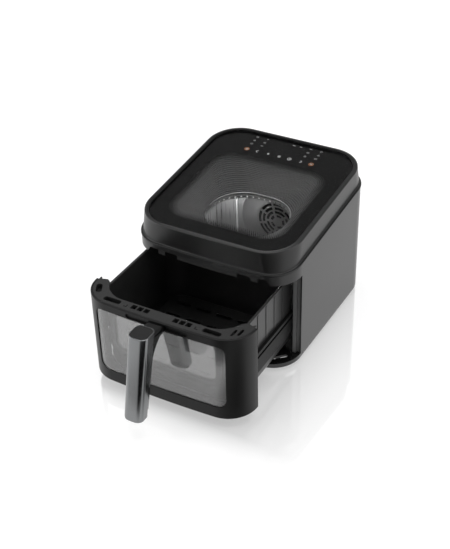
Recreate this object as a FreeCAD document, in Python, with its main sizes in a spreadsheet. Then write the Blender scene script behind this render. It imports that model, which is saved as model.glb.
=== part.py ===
import FreeCAD, Part
import math
import os
import re

import Sketcher

# Air fryer with a window drawer, in millimetres and degrees.
# Pieces are drawn with the drawer shut, the casing's front at y = 0 and the table at z = 0.
# The sloping top is drawn flat, with its seam at z = 0, and tilted into place.
# Each piece's Placement then centres the object on its origin and pulls the drawer out.

SIZES = {
    # Casing and base
    "casing_width": 294.0,
    "casing_depth": 330.0,
    "corner_radius": 52.0,
    "bow_radius": 1850.0,
    "casing_wall": 2.6,
    "foot_height": 8.0,
    "foot_radius": 11.0,
    "foot_taper": 2.0,
    "foot_side": 42.0,
    "foot_end": 50.0,
    "base_thickness": 4.0,
    "base_rim_height": 4.0,
    "base_rim_width": 3.5,
    "joint_gap": 0.5,
    "drain_length": 26.0,
    "drain_width": 6.0,
    "drain_side": 28.5,
    "drain_back": 36.0,
    "drain_turn": 43.0,
    # Collar, ears and header above the drawer opening
    "seam_height": 193.0,
    "collar_flange": 3.0,
    "collar_ledge": 12.0,
    "ear_bottom": 176.0,
    "lip_bottom": 186.5,
    "ear_gap_low": 230.0,
    "ear_gap_high": 216.0,
    "header_height": 13.0,
    "header_web": 1.0,
    "header_pad": 2.0,
    "header_panel": 112.0,
    "header_notch": 24.0,
    "header_tab": 13.0,
    # Top band, glass and print
    "top_angle": 4.74,
    "band_height": 41.4,
    "band_inset": 6.0,
    "band_wall": 3.0,
    "band_deck": 8.0,
    "band_edge": 2.0,
    "band_foot_inset": 1.0,
    "band_foot_height": 2.0,
    "seam_groove": 1.5,
    "seam_step": 2.5,
    "glass_side": 14.5,
    "glass_front": 15.0,
    "glass_back": 13.0,
    "glass_radius": 44.0,
    "glass_thickness": 4.0,
    "glass_drop": 0.5,
    "glass_ledge": 8.0,
    "print_thickness": 0.8,
    "print_inset": 1.0,
    "view_width": 216.0,
    "view_front": 38.0,
    "view_length": 213.0,
    "view_radius": 38.0,
    # Funnel and chamber window
    "funnel_wall": 2.0,
    "chamber_view_width": 144.0,
    "chamber_view_front": 80.0,
    "chamber_view_length": 132.0,
    "chamber_view_radius": 60.0,
    "chamber_glass_lap": 7.0,
    "chamber_glass_thickness": 4.0,
    "ring_rim": 6.0,
    "ring_thickness": 1.5,
    # Touch controls
    "light_box_width": 144.0,
    "light_box_front": 257.0,
    "light_box_length": 50.0,
    "light_box_height": 7.0,
    "light_box_radius": 3.0,
    "board_thickness": 1.6,
    "board_margin": 4.0,
    "board_lead": 1.0,
    "board_radius": 2.0,
    # Opening frame and chamber liner
    "frame_front": 63.0,
    "frame_thickness": 3.0,
    "frame_top": 194.5,
    "frame_bar": 190.0,
    "pillar_width": 6.0,
    "pillar_top": 165.0,
    "chamber_back": 262.0,
    "chamber_roof": 195.3,
    "chamber_radius": 20.0,
    "liner_sheet": 0.8,
    "rail_foot": 1.2,
    "rail_foot_height": 19.0,
    "rail_height": 4.4,
    "rail_middle": 85.5,
    "rail_end_gap": 24.0,
    # Fan, heater and motor, on an axis along y
    "fan_height": 120.0,
    "fan_hole": 64.0,
    "guard_radius": 74.0,
    "guard_sheet": 1.5,
    "guard_first_ring": 10.5,
    "guard_ring_step": 9.7,
    "guard_slot": 5.6,
    "guard_spoke": 10.0,
    "drum_radius": 70.0,
    "drum_depth": 29.0,
    "drum_flange": 5.0,
    "drum_sheet": 1.0,
    "shaft_hole": 8.0,
    "heater_tube": 3.0,
    "heater_inner": 46.0,
    "heater_step": 4.2,
    "heater_back": 9.0,
    "heater_bend": 7.0,
    "heater_leg": 26.0,
    "heater_leg_clearance": 1.0,
    "shaft_radius": 3.0,
    "shaft_front": 3.0,
    "shaft_length": 56.5,
    "press_clearance": 0.02,
    "running_clearance": 0.05,
    "fan_disc": 39.0,
    "fan_sheet": 1.2,
    "fan_back": 22.0,
    "fan_blade": 12.0,
    "fan_blade_root": 16.0,
    "fan_blade_inset": 1.0,
    "fan_hub": 9.0,
    "fan_hub_length": 16.0,
    "nut_corner": 5.5,
    "nut_height": 3.5,
    "cooler_disc": 40.0,
    "cooler_back": 38.5,
    "cooler_blade": 4.5,
    "cooler_hub_length": 6.0,
    "bracket_radius": 60.0,
    "bracket_hole": 14.0,
    "bracket_sheet": 1.5,
    "bracket_gap": 9.5,
    "post_radius": 4.0,
    "post_circle": 54.0,
    "motor_radius": 34.0,
    "motor_length": 17.5,
    "cutout_radius": 8.0,
    "cutout_height": 7.0,
    "cutout_side": 50.0,
    # Probe, lamp and power board
    "probe_inset": 36.0,
    "probe_height": 182.0,
    "probe_radius": 2.5,
    "probe_reach": 9.0,
    "probe_tail": 7.0,
    "probe_collar": 5.0,
    "probe_collar_length": 3.8,
    "lamp_inset": 36.0,
    "lamp_back": 24.0,
    "lamp_radius": 14.0,
    "lamp_wall": 4.0,
    "lamp_height": 25.0,
    "lens_drop": 1.5,
    "lens_thickness": 4.2,
    "power_edge": 6.0,
    "power_width": 40.0,
    "power_low": 60.0,
    "power_height": 110.0,
    "power_gap": 20.0,
    "power_post_inset": 10.0,
    "power_part_side": 4.0,
    "transformer_low": 12.0,
    "transformer_width": 22.0,
    "transformer_height": 30.0,
    "transformer_depth": 18.0,
    "relay_low": 54.0,
    "relay_width": 18.0,
    "relay_height": 20.0,
    "relay_depth": 15.0,
    "capacitor_side": 14.0,
    "capacitor_low": 92.0,
    "capacitor_radius": 7.0,
    "capacitor_depth": 17.0,
    # Back of the casing
    "grille_width": 130.0,
    "grille_height": 90.0,
    "grille_low": 70.0,
    "grille_radius": 6.0,
    "grille_flange": 5.0,
    "grille_flange_sheet": 2.0,
    "grille_slot": 52.0,
    "grille_slot_height": 5.0,
    "grille_slot_side": 30.0,
    "grille_pitch": 9.5,
    "grille_rows": 9.0,
    "gland_side": 78.0,
    "gland_height": 38.0,
    "gland_radius": 9.0,
    "gland_flange": 4.0,
    "gland_flange_sheet": 4.0,
    "gland_bore": 4.0,
    "seat_clearance": 0.2,
    "cut_over": 1.0,
    "cut_far": 10.0,
    # Drawer front, rim and windows
    "drawer_pull": 154.5,
    "drawer_lift": 1.4,
    "drawer_top": 174.5,
    "drawer_front_tail": 1.6,
    "drawer_front_gap": 1.0,
    "drawer_wall": 4.0,
    "drawer_edge": 1.5,
    "window_width": 234.0,
    "window_low": 40.0,
    "window_high": 160.7,
    "window_radius": 14.0,
    "pane_recess": 1.2,
    "pane_thickness": 2.5,
    "pane_gap": 0.4,
    "gasket_depth": 2.5,
    "gasket_gap": 0.3,
    "gasket_lap": 5.0,
    "gasket_lip": 3.0,
    "handle_slot_width": 112.0,
    "handle_slot_low": 162.5,
    "handle_slot_height": 9.0,
    "handle_slot_depth": 3.2,
    "rim_height": 7.1,
    "rim_front": 25.0,
    "rim_opening": 246.0,
    "rim_radius": 46.0,
    "rim_slot_row": 16.7,
    "rim_slot_width": 10.0,
    "rim_slot_long_at": 90.0,
    "rim_slot_long": 31.5,
    "rim_slot_long_radius": 4.2,
    "rim_slot_split_at": 38.0,
    "rim_slot_split": 9.3,
    "rim_slot_split_radius": 1.2,
    "rim_slot_divider": 2.2,
    "rim_bean_length": 23.0,
    "rim_bean_width": 10.0,
    "rim_bean_side": 19.4,
    "rim_bean_back": 34.8,
    "rim_bean_turn": 118.0,
    "rim_short_length": 17.0,
    "rim_short_width": 4.6,
    "rim_short_side": 26.8,
    "rim_short_back": 30.8,
    "rim_short_turn": 86.0,
    "rim_short_step": 8.8,
    "rim_short_rise": 5.2,
    "rim_claw_reach": 6.2,
    "rim_claw_notch": 2.5,
    "rim_claw_tip": 2.0,
    "rim_claw_taper": 3.0,
    "rim_claw_hook": 5.0,
    "rim_claw_root": 1.0,
    "rim_claw_width": 19.0,
    "rim_claw_side": 4.6,
    "rim_claw_height": 5.0,
    "magnet_width": 12.0,
    "magnet_depth": 6.0,
    "magnet_height": 7.0,
    "magnet_front": 8.0,
    "sensor_width": 16.0,
    "sensor_depth": 6.0,
    "sensor_height": 9.0,
    # Pan, runners and crisper plate
    "pan_width": 247.2,
    "pan_front": 27.0,
    "pan_length": 222.0,
    "pan_bottom": 27.0,
    "pan_radius": 34.0,
    "pan_bend": 12.0,
    "pan_sheet": 1.2,
    "pan_flange": 3.0,
    "pan_window_width": 184.0,
    "pan_window_low": 72.0,
    "pan_window_high": 150.0,
    "pan_window_radius": 18.0,
    "inner_pane_lap": 8.0,
    "inner_pane_thickness": 3.2,
    "pane_frame_width": 12.0,
    "pane_frame_thickness": 2.4,
    "pan_rib_first": 100.0,
    "pan_rib_step": 28.5,
    "pan_rib_width": 4.0,
    "pan_rib_proud": 0.8,
    "pan_rib_low": 98.0,
    "pan_rib_high": 160.0,
    "runner_front": 50.0,
    "runner_length": 195.0,
    "runner_low": 55.0,
    "runner_high": 94.0,
    "runner_width": 5.4,
    "groove_depth": 3.4,
    "rail_clearance": 0.3,
    "rail_end_clearance": 0.4,
    "runner_clearance": 0.8,
    "plate_side_gap": 11.6,
    "plate_end_gap": 13.0,
    "plate_radius": 28.0,
    "plate_height": 40.0,
    "plate_sheet": 2.4,
    "plate_slot": 30.0,
    "plate_slot_width": 8.0,
    "plate_margin": 15.0,
    "plate_row_pitch": 36.0,
    "plate_rows": 5.0,
    "bumper_radius": 6.0,
    "bumper_inset": 22.0,
    "bumper_gap": 0.3,
    # Handle
    "handle_reach": 86.0,
    "handle_width": 34.0,
    "handle_low": 38.0,
    "handle_foot": 4.0,
    "handle_high": 180.0,
    "handle_low_depth": 28.0,
    "handle_high_depth": 35.0,
    "handle_high_gap": 21.5,
    "handle_radius": 10.0,
    "handle_edge": 2.0,
    "cap_inset": 1.6,
    "cap_depth": 2.5,
    "cap_drop": 0.3,
    "neck_width": 32.0,
    "neck_slope": 3.5,
    "neck_root": 2.5,
    "neck_slot_gap": 0.5,
    "neck_foot": 118.0,
    "neck_curve": 62.0,
    "neck_edge": 6.0,
    "spine_width": 24.0,
    "spine_depth": 6.0,
    "spine_radius": 4.0,
    "spine_foot": 7.0,
    "spine_rise": 37.0,
}

# Places that follow from the sizes above, each written with their names.
PLACES = {
    "housing_y": "(drawer_pull + handle_reach - casing_depth) / 2",
    "drawer_y": "housing_y - drawer_pull",
    "half_width": "casing_width / 2",
    "bow_reach": "bow_radius - corner_radius",
    "corner_middle": "half_width - corner_radius",
    "corner_end": "bow_radius - sqrt(bow_reach * bow_reach - corner_middle * corner_middle)",
    "drawer_front_depth": "corner_end + drawer_front_tail",
    "side_front": "drawer_front_depth + drawer_front_gap",
    "base_top": "foot_height + base_thickness",
    "header_front": "casing_wall + seat_clearance / 2",
    "header_low": "ear_bottom + joint_gap",
    "glass_half": "half_width - glass_side",
    "glass_end": "casing_depth - glass_back",
    "glass_top": "band_height - glass_drop",
    "glass_bottom": "glass_top - glass_thickness",
    "print_bottom": "glass_bottom - print_thickness",
    "view_half": "view_width / 2",
    "view_end": "view_front + view_length",
    "chamber_half": "runner_half + runner_clearance + rail_foot",
    "liner_half": "chamber_half + liner_sheet",
    "liner_back": "chamber_back + liner_sheet",
    "liner_top": "chamber_roof + liner_sheet",
    "frame_back": "frame_front + frame_thickness",
    "chamber_view_half": "chamber_view_width / 2",
    "chamber_view_end": "chamber_view_front + chamber_view_length",
    "chamber_glass_top": "liner_top + chamber_glass_thickness",
    "ring_top": "chamber_glass_top + ring_thickness",
    "rail_low": "rail_middle - rail_height / 2",
    "rail_high": "rail_middle + rail_height / 2",
    "drum_back": "liner_back + drum_depth",
    "heater_y": "liner_back + heater_back",
    "fan_y": "chamber_back + fan_back",
    "cooler_y": "chamber_back + cooler_back",
    "shaft_start": "chamber_back + shaft_front",
    "bracket_front": "drum_back + bracket_gap",
    "motor_front": "bracket_front + bracket_sheet",
    "wall_inside": "casing_depth - casing_wall",
    "lamp_side": "chamber_half - lamp_inset",
    "lamp_y": "chamber_back - lamp_back",
    "probe_side": "chamber_half - probe_inset",
    "power_post_side": "chamber_half - chamber_radius - 2 * post_radius",
    "power_side": "power_post_side - power_edge",
    "power_y": "liner_back + power_gap",
    "drawer_bottom": "base_top + base_rim_height + drawer_lift",
    "rim_low": "drawer_top - rim_height",
    "window_half": "window_width / 2",
    "pan_half": "pan_width / 2",
    "pan_end": "pan_front + pan_length",
    "pan_top": "rim_low",
    "inner_pane_back": "pan_front - seat_clearance",
    "inner_pane_front": "inner_pane_back - inner_pane_thickness",
    "pane_frame_back": "inner_pane_front - seat_clearance",
    "groove_low": "rail_low - rail_clearance",
    "groove_high": "rail_high + rail_clearance",
    "runner_half": "pan_half + runner_width",
    "groove_floor": "runner_half - groove_depth",
    "plate_half": "pan_half - plate_side_gap",
    "plate_front": "pan_front + plate_end_gap",
    "plate_end": "pan_end - plate_end_gap",
    "handle_half": "handle_width / 2",
    "handle_high_front": "0 - (handle_high_gap + handle_high_depth)",
    "handle_lean_start": "handle_low + handle_foot",
    "handle_low_back": "handle_low_depth - handle_reach",
    "handle_lean": "(0 - handle_high_gap - handle_low_back) / (handle_high - handle_lean_start)",
}

HEATER_TURNS = 2
GUARD_RINGS = 4
GUARD_SLOTS = (4, 6, 9, 12)
FAN_BLADES = 8
RIB_COUNT = 4
PLATE_COLUMNS = 5
BRACKET_POSTS = 3
BIG = 400.0
NEAR = 0.1

WORD = re.compile(r"[a-z_]{3,}")
SIDES = (("left", -1), ("right", 1))

doc = FreeCAD.newDocument("AirFryer")
sheet = doc.addObject("Spreadsheet::Sheet", "Sizes")
for row, (alias, amount) in enumerate(SIZES.items(), start=1):
    sheet.set(f"A{row}", alias)
    sheet.set(f"B{row}", str(amount))
    sheet.setAlias(f"B{row}", alias)
doc.recompute()

nodes = []


# Reading and binding sizes

def spelled(text, leaf):
    """Write out a formula of sizes and places, with leaf giving each size's form."""
    def swap(match):
        word = match.group(0)
        if word in PLACES:
            return f"({spelled(PLACES[word], leaf)})"
        if word in SIZES:
            return leaf(word)
        return word
    return WORD.sub(swap, str(text))


def formula(text):
    return spelled(text, lambda word: f"Sizes.{word}")


def number(text):
    """The value of a formula now, read from the sheet."""
    return FreeCAD.Units.parseQuantity(spelled(text, lambda word: f"{sheet.get(word):.9f}")).Value


def bind(thing, **formulas):
    """Bind properties to formulas; a double underscore in a name stands for a dot."""
    for name, text in formulas.items():
        thing.setExpression(name.replace("__", "."), formula(text))


# Sketch outlines

def dimension(sketch, kind, *places, size):
    """Add a driving constraint whose value is a formula."""
    index = sketch.addConstraint(Sketcher.Constraint(kind, *places, number(size)))
    sketch.setExpression(f"Constraints[{index}]", formula(size))


def line(sketch, x0, y0, x1, y1):
    start = FreeCAD.Vector(x0, y0, 0)
    return sketch.addGeometry(Part.LineSegment(start, FreeCAD.Vector(x1, y1, 0)), False)


def arc(sketch, x, y, radius, start, end):
    circle = Part.Circle(FreeCAD.Vector(x, y, 0), FreeCAD.Vector(0, 0, 1), radius)
    return sketch.addGeometry(Part.ArcOfCircle(circle, start, end), False)


def join(sketch, kind, chain):
    """Join each edge's end to the next one's start, round to the first."""
    for first, second in zip(chain, chain[1:] + chain[:1]):
        sketch.addConstraint(Sketcher.Constraint(kind, first, 2, second, 1))


def rectangle(left, right, low, high, radius):
    """A rectangle with rounded corners."""
    def draw(sketch):
        x0, x1, y0, y1, r = (number(text) for text in (left, right, low, high, radius))
        quarter = math.pi / 2
        bottom = line(sketch, x0 + r, y0, x1 - r, y0)
        corner = arc(sketch, x1 - r, y0 + r, r, -quarter, 0)
        side = line(sketch, x1, y0 + r, x1, y1 - r)
        others = [arc(sketch, x1 - r, y1 - r, r, 0, quarter)]
        top = line(sketch, x1 - r, y1, x0 + r, y1)
        others.append(arc(sketch, x0 + r, y1 - r, r, quarter, 2 * quarter))
        far_side = line(sketch, x0, y1 - r, x0, y0 + r)
        others.append(arc(sketch, x0 + r, y0 + r, r, 2 * quarter, 3 * quarter))
        join(sketch, "Tangent", [bottom, corner, side, others[0], top, others[1], far_side, others[2]])
        for level in (bottom, top):
            sketch.addConstraint(Sketcher.Constraint("Horizontal", level))
        for upright in (side, far_side):
            sketch.addConstraint(Sketcher.Constraint("Vertical", upright))
        for other in others:
            sketch.addConstraint(Sketcher.Constraint("Equal", corner, other))
        dimension(sketch, "Radius", corner, size=radius)
        dimension(sketch, "DistanceX", -1, 1, far_side, 1, size=left)
        dimension(sketch, "DistanceX", -1, 1, side, 1, size=right)
        dimension(sketch, "DistanceY", -1, 1, bottom, 1, size=low)
        dimension(sketch, "DistanceY", -1, 1, top, 1, size=high)
    return draw


def slot(left, right, middle, width):
    """A straight slot along x with round ends."""
    def draw(sketch):
        x0, x1, y, r = number(left), number(right), number(middle), number(width) / 2
        quarter = math.pi / 2
        bottom = line(sketch, x0 + r, y - r, x1 - r, y - r)
        near = arc(sketch, x1 - r, y, r, -quarter, quarter)
        top = line(sketch, x1 - r, y + r, x0 + r, y + r)
        far = arc(sketch, x0 + r, y, r, quarter, 3 * quarter)
        join(sketch, "Tangent", [bottom, near, top, far])
        sketch.addConstraint(Sketcher.Constraint("Horizontal", bottom))
        sketch.addConstraint(Sketcher.Constraint("Equal", near, far))
        dimension(sketch, "Radius", near, size=f"({width}) / 2")
        dimension(sketch, "DistanceX", -1, 1, near, 3, size=f"({right}) - ({width}) / 2")
        dimension(sketch, "DistanceX", -1, 1, far, 3, size=f"({left}) + ({width}) / 2")
        dimension(sketch, "DistanceY", -1, 1, near, 3, size=middle)
    return draw


def together(*drawings):
    """Several closed outlines in one sketch."""
    def draw(sketch):
        for drawing in drawings:
            drawing(sketch)
    return draw


def disc(radius):
    """A circle round the sketch's origin."""
    def draw(sketch):
        circle = Part.Circle(FreeCAD.Vector(), FreeCAD.Vector(0, 0, 1), number(radius))
        index = sketch.addGeometry(circle, False)
        sketch.addConstraint(Sketcher.Constraint("Coincident", index, 3, -1, 1))
        dimension(sketch, "Radius", index, size=radius)
    return draw


def polygon(*corners):
    """A closed outline of straight edges."""
    def draw(sketch):
        points = [(number(x), number(y)) for x, y in corners]
        ends = points[1:] + points[:1]
        chain = [line(sketch, *start, *end) for start, end in zip(points, ends)]
        join(sketch, "Coincident", chain)
        for edge, (x, y) in zip(chain, corners):
            dimension(sketch, "DistanceX", -1, 1, edge, 1, size=x)
            dimension(sketch, "DistanceY", -1, 1, edge, 1, size=y)
    return draw


def plan(inset, back=None):
    """The casing's plan outline, with its bowed front, set in by inset.

    With back given, only the front part is drawn, cut off square there."""
    def draw(sketch):
        half = number(f"half_width - ({inset})")
        radius = number(f"corner_radius - ({inset})")
        bow = number(f"bow_radius - ({inset})")
        middle = number("bow_radius")
        end = number(back or f"casing_depth - ({inset})")
        corner_x = half - radius
        corner_y = middle - math.sqrt((bow - radius) ** 2 - corner_x ** 2)
        turn = math.atan2(corner_y - middle, corner_x)
        square = radius if back is None else 0.0
        front = arc(sketch, 0, middle, bow, math.pi - turn, 2 * math.pi + turn)
        near = arc(sketch, corner_x, corner_y, radius, turn, 0)
        side = line(sketch, half, corner_y, half, end - square)
        rest = []
        if back is None:
            rest.append(arc(sketch, corner_x, end - radius, radius, 0, math.pi / 2))
        rear = line(sketch, half - square, end, square - half, end)
        if back is None:
            rest.append(arc(sketch, -corner_x, end - radius, radius, math.pi / 2, math.pi))
        far_side = line(sketch, -half, end - square, -half, corner_y)
        far = arc(sketch, -corner_x, corner_y, radius, math.pi, math.pi - turn)
        smooth = "Tangent" if back is None else "Coincident"
        corners = [side, *rest[:1], rear, *rest[1:], far_side]
        for first, second in zip(corners, corners[1:]):
            sketch.addConstraint(Sketcher.Constraint(smooth, first, 2, second, 1))
        curve = [far_side, far, front, near, side]
        for first, second in zip(curve, curve[1:]):
            sketch.addConstraint(Sketcher.Constraint("Tangent", first, 2, second, 1))
        for upright in (side, far_side):
            sketch.addConstraint(Sketcher.Constraint("Vertical", upright))
        sketch.addConstraint(Sketcher.Constraint("Horizontal", rear))
        for other in [far, *rest]:
            sketch.addConstraint(Sketcher.Constraint("Equal", near, other))
        sketch.addConstraint(Sketcher.Constraint("PointOnObject", front, 3, -2))
        dimension(sketch, "Radius", near, size=f"corner_radius - ({inset})")
        dimension(sketch, "Radius", front, size=f"bow_radius - ({inset})")
        dimension(sketch, "DistanceX", -1, 1, side, 1, size=f"half_width - ({inset})")
        dimension(sketch, "DistanceX", -1, 1, far_side, 1, size=f"({inset}) - half_width")
        dimension(sketch, "DistanceY", -1, 1, rear, 1, size=back or f"casing_depth - ({inset})")
        dimension(sketch, "DistanceY", -1, 1, front, 3, size="bow_radius")
    return draw


# Solids

def attach(body, name, role, offset):
    sketch = body.newObject("Sketcher::SketchObject", name)
    plane = next(part for part in body.Origin.OriginFeatures if part.Role == role)
    sketch.AttachmentSupport = [(plane, "")]
    sketch.MapMode = "FlatFace"
    bind(sketch, AttachmentOffset__Base__z=offset)
    return sketch


def extrude(name, draw, low, high, role, flip):
    """A body with one pad of a drawn outline between two planes."""
    body = doc.addObject("PartDesign::Body", name)
    sketch = attach(body, f"{name}_profile", role, f"0 - ({low})" if flip else low)
    draw(sketch)
    pad = body.newObject("PartDesign::Pad", f"{name}_pad")
    pad.Profile = sketch
    pad.Reversed = flip
    bind(pad, Length=f"({high}) - ({low})")
    body.Tip = pad
    return body


def upright(name, draw, low, high):
    """An outline in plan, raised along z."""
    return extrude(name, draw, low, high, "XY_Plane", False)


def along_y(name, draw, low, high):
    """An outline in x and z, run along y."""
    return extrude(name, draw, low, high, "XZ_Plane", True)


def along_x(name, draw, low, high):
    """An outline in y and z, run along x."""
    return extrude(name, draw, low, high, "YZ_Plane", False)


def block(name, x, y, z):
    """A box from three pairs of formulas."""
    box = doc.addObject("Part::Box", name)
    for side, axis, (low, high) in zip(("Length", "Width", "Height"), "xyz", (x, y, z)):
        bind(box, **{side: f"({high}) - ({low})", f"Placement__Base__{axis}": low})
    return box


def rod(name, x, z, radius, low, high):
    """A cylinder along y."""
    cylinder = doc.addObject("Part::Cylinder", name)
    cylinder.Placement.Rotation = FreeCAD.Rotation(FreeCAD.Vector(1, 0, 0), -90)
    bind(cylinder, Radius=radius, Height=f"({high}) - ({low})")
    bind(cylinder, Placement__Base__x=x, Placement__Base__y=low, Placement__Base__z=z)
    return cylinder


def axle(name, radius, low, high):
    """A cylinder on the fan's axis."""
    return rod(name, "0", "fan_height", radius, low, high)


def past(low, high):
    """A span that runs a little past both ends, for a cutting tool."""
    return f"({low}) - cut_over", f"({high}) + cut_over"


def post(name, x, y, radius, low, high):
    """A cylinder along z."""
    cylinder = doc.addObject("Part::Cylinder", name)
    bind(cylinder, Radius=radius, Height=f"({high}) - ({low})")
    bind(cylinder, Placement__Base__x=x, Placement__Base__y=y, Placement__Base__z=low)
    return cylinder


def fuse(name, *pieces):
    result = doc.addObject("Part::MultiFuse", name)
    result.Shapes = list(pieces)
    result.Refine = True
    return result


def common(name, *pieces):
    result = doc.addObject("Part::MultiCommon", name)
    result.Shapes = list(pieces)
    return result


def cut(name, base, *tools):
    result = doc.addObject("Part::Cut", name)
    result.Base = base
    result.Tool = tools[0] if len(tools) == 1 else fuse(f"{name}_tools", *tools)
    return result


def loft(name, *sections):
    """A straight-sided solid between outlines, each given as (drawing, height, tilted)."""
    sketches = []
    for index, (draw, height, tilted) in enumerate(sections):
        sketch = doc.addObject("Sketcher::SketchObject", f"{name}_section_{index}")
        draw(sketch)
        if tilted:
            tilt(sketch, height)
        else:
            bind(sketch, Placement__Base__z=height)
        sketches.append(sketch)
    result = doc.addObject("Part::Loft", name)
    result.Sections = sketches
    result.Solid = True
    result.Ruled = True
    return result


def soften(name, base, radius, wanted):
    """Round the edges of a piece that wanted picks."""
    doc.recompute()
    edges = [index for index, edge in enumerate(base.Shape.Edges, start=1) if wanted(edge)]
    result = doc.addObject("Part::Fillet", name)
    result.Base = base
    result.Edges = [(index, number(radius), number(radius)) for index in edges]
    return result


def tilt(thing, rise):
    """Stand a piece that is drawn flat on the sloping seam plane, raised by rise."""
    thing.Placement.Rotation = FreeCAD.Rotation(FreeCAD.Vector(1, 0, 0), 1)
    bind(thing, Placement__Rotation__Angle="top_angle")
    bind(thing, Placement__Base__y=f"0 - ({rise}) * sin(top_angle)")
    bind(thing, Placement__Base__z=f"seam_height + ({rise}) * cos(top_angle)")
    return thing


def slab(name, low, high):
    """All the space between two planes parallel to the sloping seam."""
    box = block(f"{name}_flat", (-BIG, BIG), (-BIG, 2 * BIG), (low, high))
    return tilt(common(name, box), "0")


def ring(name, outer, inner, low, high):
    """A wall between two plan outlines of the drawer's front part."""
    outside = upright(f"{name}_outside", plan(outer, "drawer_front_depth"), low, high)
    inside = upright(f"{name}_inside", plan(inner, "drawer_front_depth + cut_far"), low, high)
    return cut(name, outside, inside)


def node(label, piece, place="housing_y"):
    """Name a finished piece and move it to its place in the object."""
    piece.Label = label
    bind(piece, Placement__Base__y=place)
    nodes.append(piece)


def sloping_node(label, piece):
    """Name a finished piece of the sloping top, tilt it and move it to its place."""
    piece.Label = label
    tilt(piece, "0")
    bind(piece, Placement__Base__y="housing_y")
    nodes.append(piece)


# Base and casing

def make_base():
    plate = upright("base_plate", plan("0"), "foot_height", "base_top")
    outside = upright("base_rim_outside", plan("0"), "base_top", "base_top + base_rim_height")
    inside = upright("base_rim_inside", plan("base_rim_width"), "base_top", "base_top + base_rim_height")
    front = block("base_rim_front", (-BIG, BIG), ("0 - cut_far", "side_front - joint_gap"),
                  ("base_top", "seam_height"))
    rim = common("base_rim", cut("base_rim_ring", outside, inside), front)
    drains = []
    for side, sign in SIDES:
        half = "drain_length / 2"
        drain = upright(f"drain_{side}", slot(f"0 - {half}", half, "0", "drain_width"),
                        *past("foot_height", "base_top"))
        bind(drain, Placement__Base__x=f"{sign} * (half_width - drain_side)", Placement__Base__y="drain_back")
        drain.Placement.Rotation = FreeCAD.Rotation(FreeCAD.Vector(0, 0, 1), sign)
        bind(drain, Placement__Rotation__Angle="drain_turn")
        drains.append(drain)
    node("base_tray", cut("base_tray_cut", fuse("base_body", plate, rim), *drains))


def make_feet():
    ends = (("front", "foot_end"), ("back", "casing_depth - foot_end"))
    for end, y in ends:
        for side, sign in SIDES:
            foot = doc.addObject("Part::Cone", f"foot_cone_{end}_{side}")
            bind(foot, Radius1="foot_radius - foot_taper", Radius2="foot_radius", Height="foot_height")
            bind(foot, Placement__Base__x=f"{sign} * (half_width - foot_side)")
            node(f"foot_{end}_{side}", foot, f"{y} + housing_y")


def make_casing():
    top = "seam_height + corner_radius"
    outside = upright("casing_outside", plan("0"), "base_top", top)
    inside = upright("casing_inside", plan("casing_wall"), "base_top - cut_over", top)
    shell = common("casing_shell", outside, slab("casing_below_seam", -BIG, "0"))
    hollow = common("casing_hollow", inside, slab("casing_below_flange", -BIG, "0 - collar_flange"))
    mouth = upright("casing_mouth", plan("collar_ledge"), "ear_bottom", top)
    opening = block("drawer_opening", (-BIG, BIG), ("0 - cut_far", "side_front"),
                    ("base_top - cut_over", "ear_bottom"))
    gap = along_y("ear_gap", polygon(("0 - ear_gap_low / 2", "ear_bottom - cut_over"),
                                     ("ear_gap_low / 2", "ear_bottom - cut_over"),
                                     ("ear_gap_high / 2", "lip_bottom"),
                                     ("0 - ear_gap_high / 2", "lip_bottom")), "0 - cut_far", "collar_ledge")
    grille = along_y("grille_hole", grille_outline("0"), *past("wall_inside", "casing_depth"))
    gland = rod("gland_hole", "gland_side", "gland_height", "gland_radius",
                *past("wall_inside", "casing_depth"))
    node("outer_casing", cut("casing_cut", shell, hollow, mouth, opening, gap, grille, gland))


def make_header():
    low = "header_low"
    high = "header_low + header_height"
    pad_back = "header_front + header_pad"
    pads = ring("header_pads", "header_front", pad_back, low, high)
    web = ring("header_web_wall", pad_back, f"{pad_back} + header_web", "lip_bottom", high)
    edge = "header_panel / 2"
    tab = f"{edge} + header_notch"
    tab_end = f"{tab} + header_tab"
    spans = [(f"0 - {edge}", edge), (tab, tab_end), (f"0 - ({tab_end})", f"0 - ({tab})")]
    depth = ("0 - cut_far", "collar_ledge")
    keep = [block(f"header_span_{i}", span, depth, (low, high)) for i, span in enumerate(spans)]
    half = "ear_gap_high / 2"
    width = block("header_width", (f"0 - {half}", half), depth, (low, high))
    panels = common("header_panels", pads, fuse("header_spans", *keep))
    node("front_header", fuse("header_body", panels, common("header_back", web, width)))


# Sloping top

def glass_outline(grow):
    return rectangle(f"0 - (glass_half + {grow})", f"glass_half + {grow}", f"glass_front - ({grow})",
                     f"glass_end + {grow}", f"glass_radius + {grow}")


def view_outline(grow):
    return rectangle(f"0 - (view_half + {grow})", f"view_half + {grow}", f"view_front - ({grow})",
                     f"view_end + {grow}", f"view_radius + {grow}")


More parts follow.
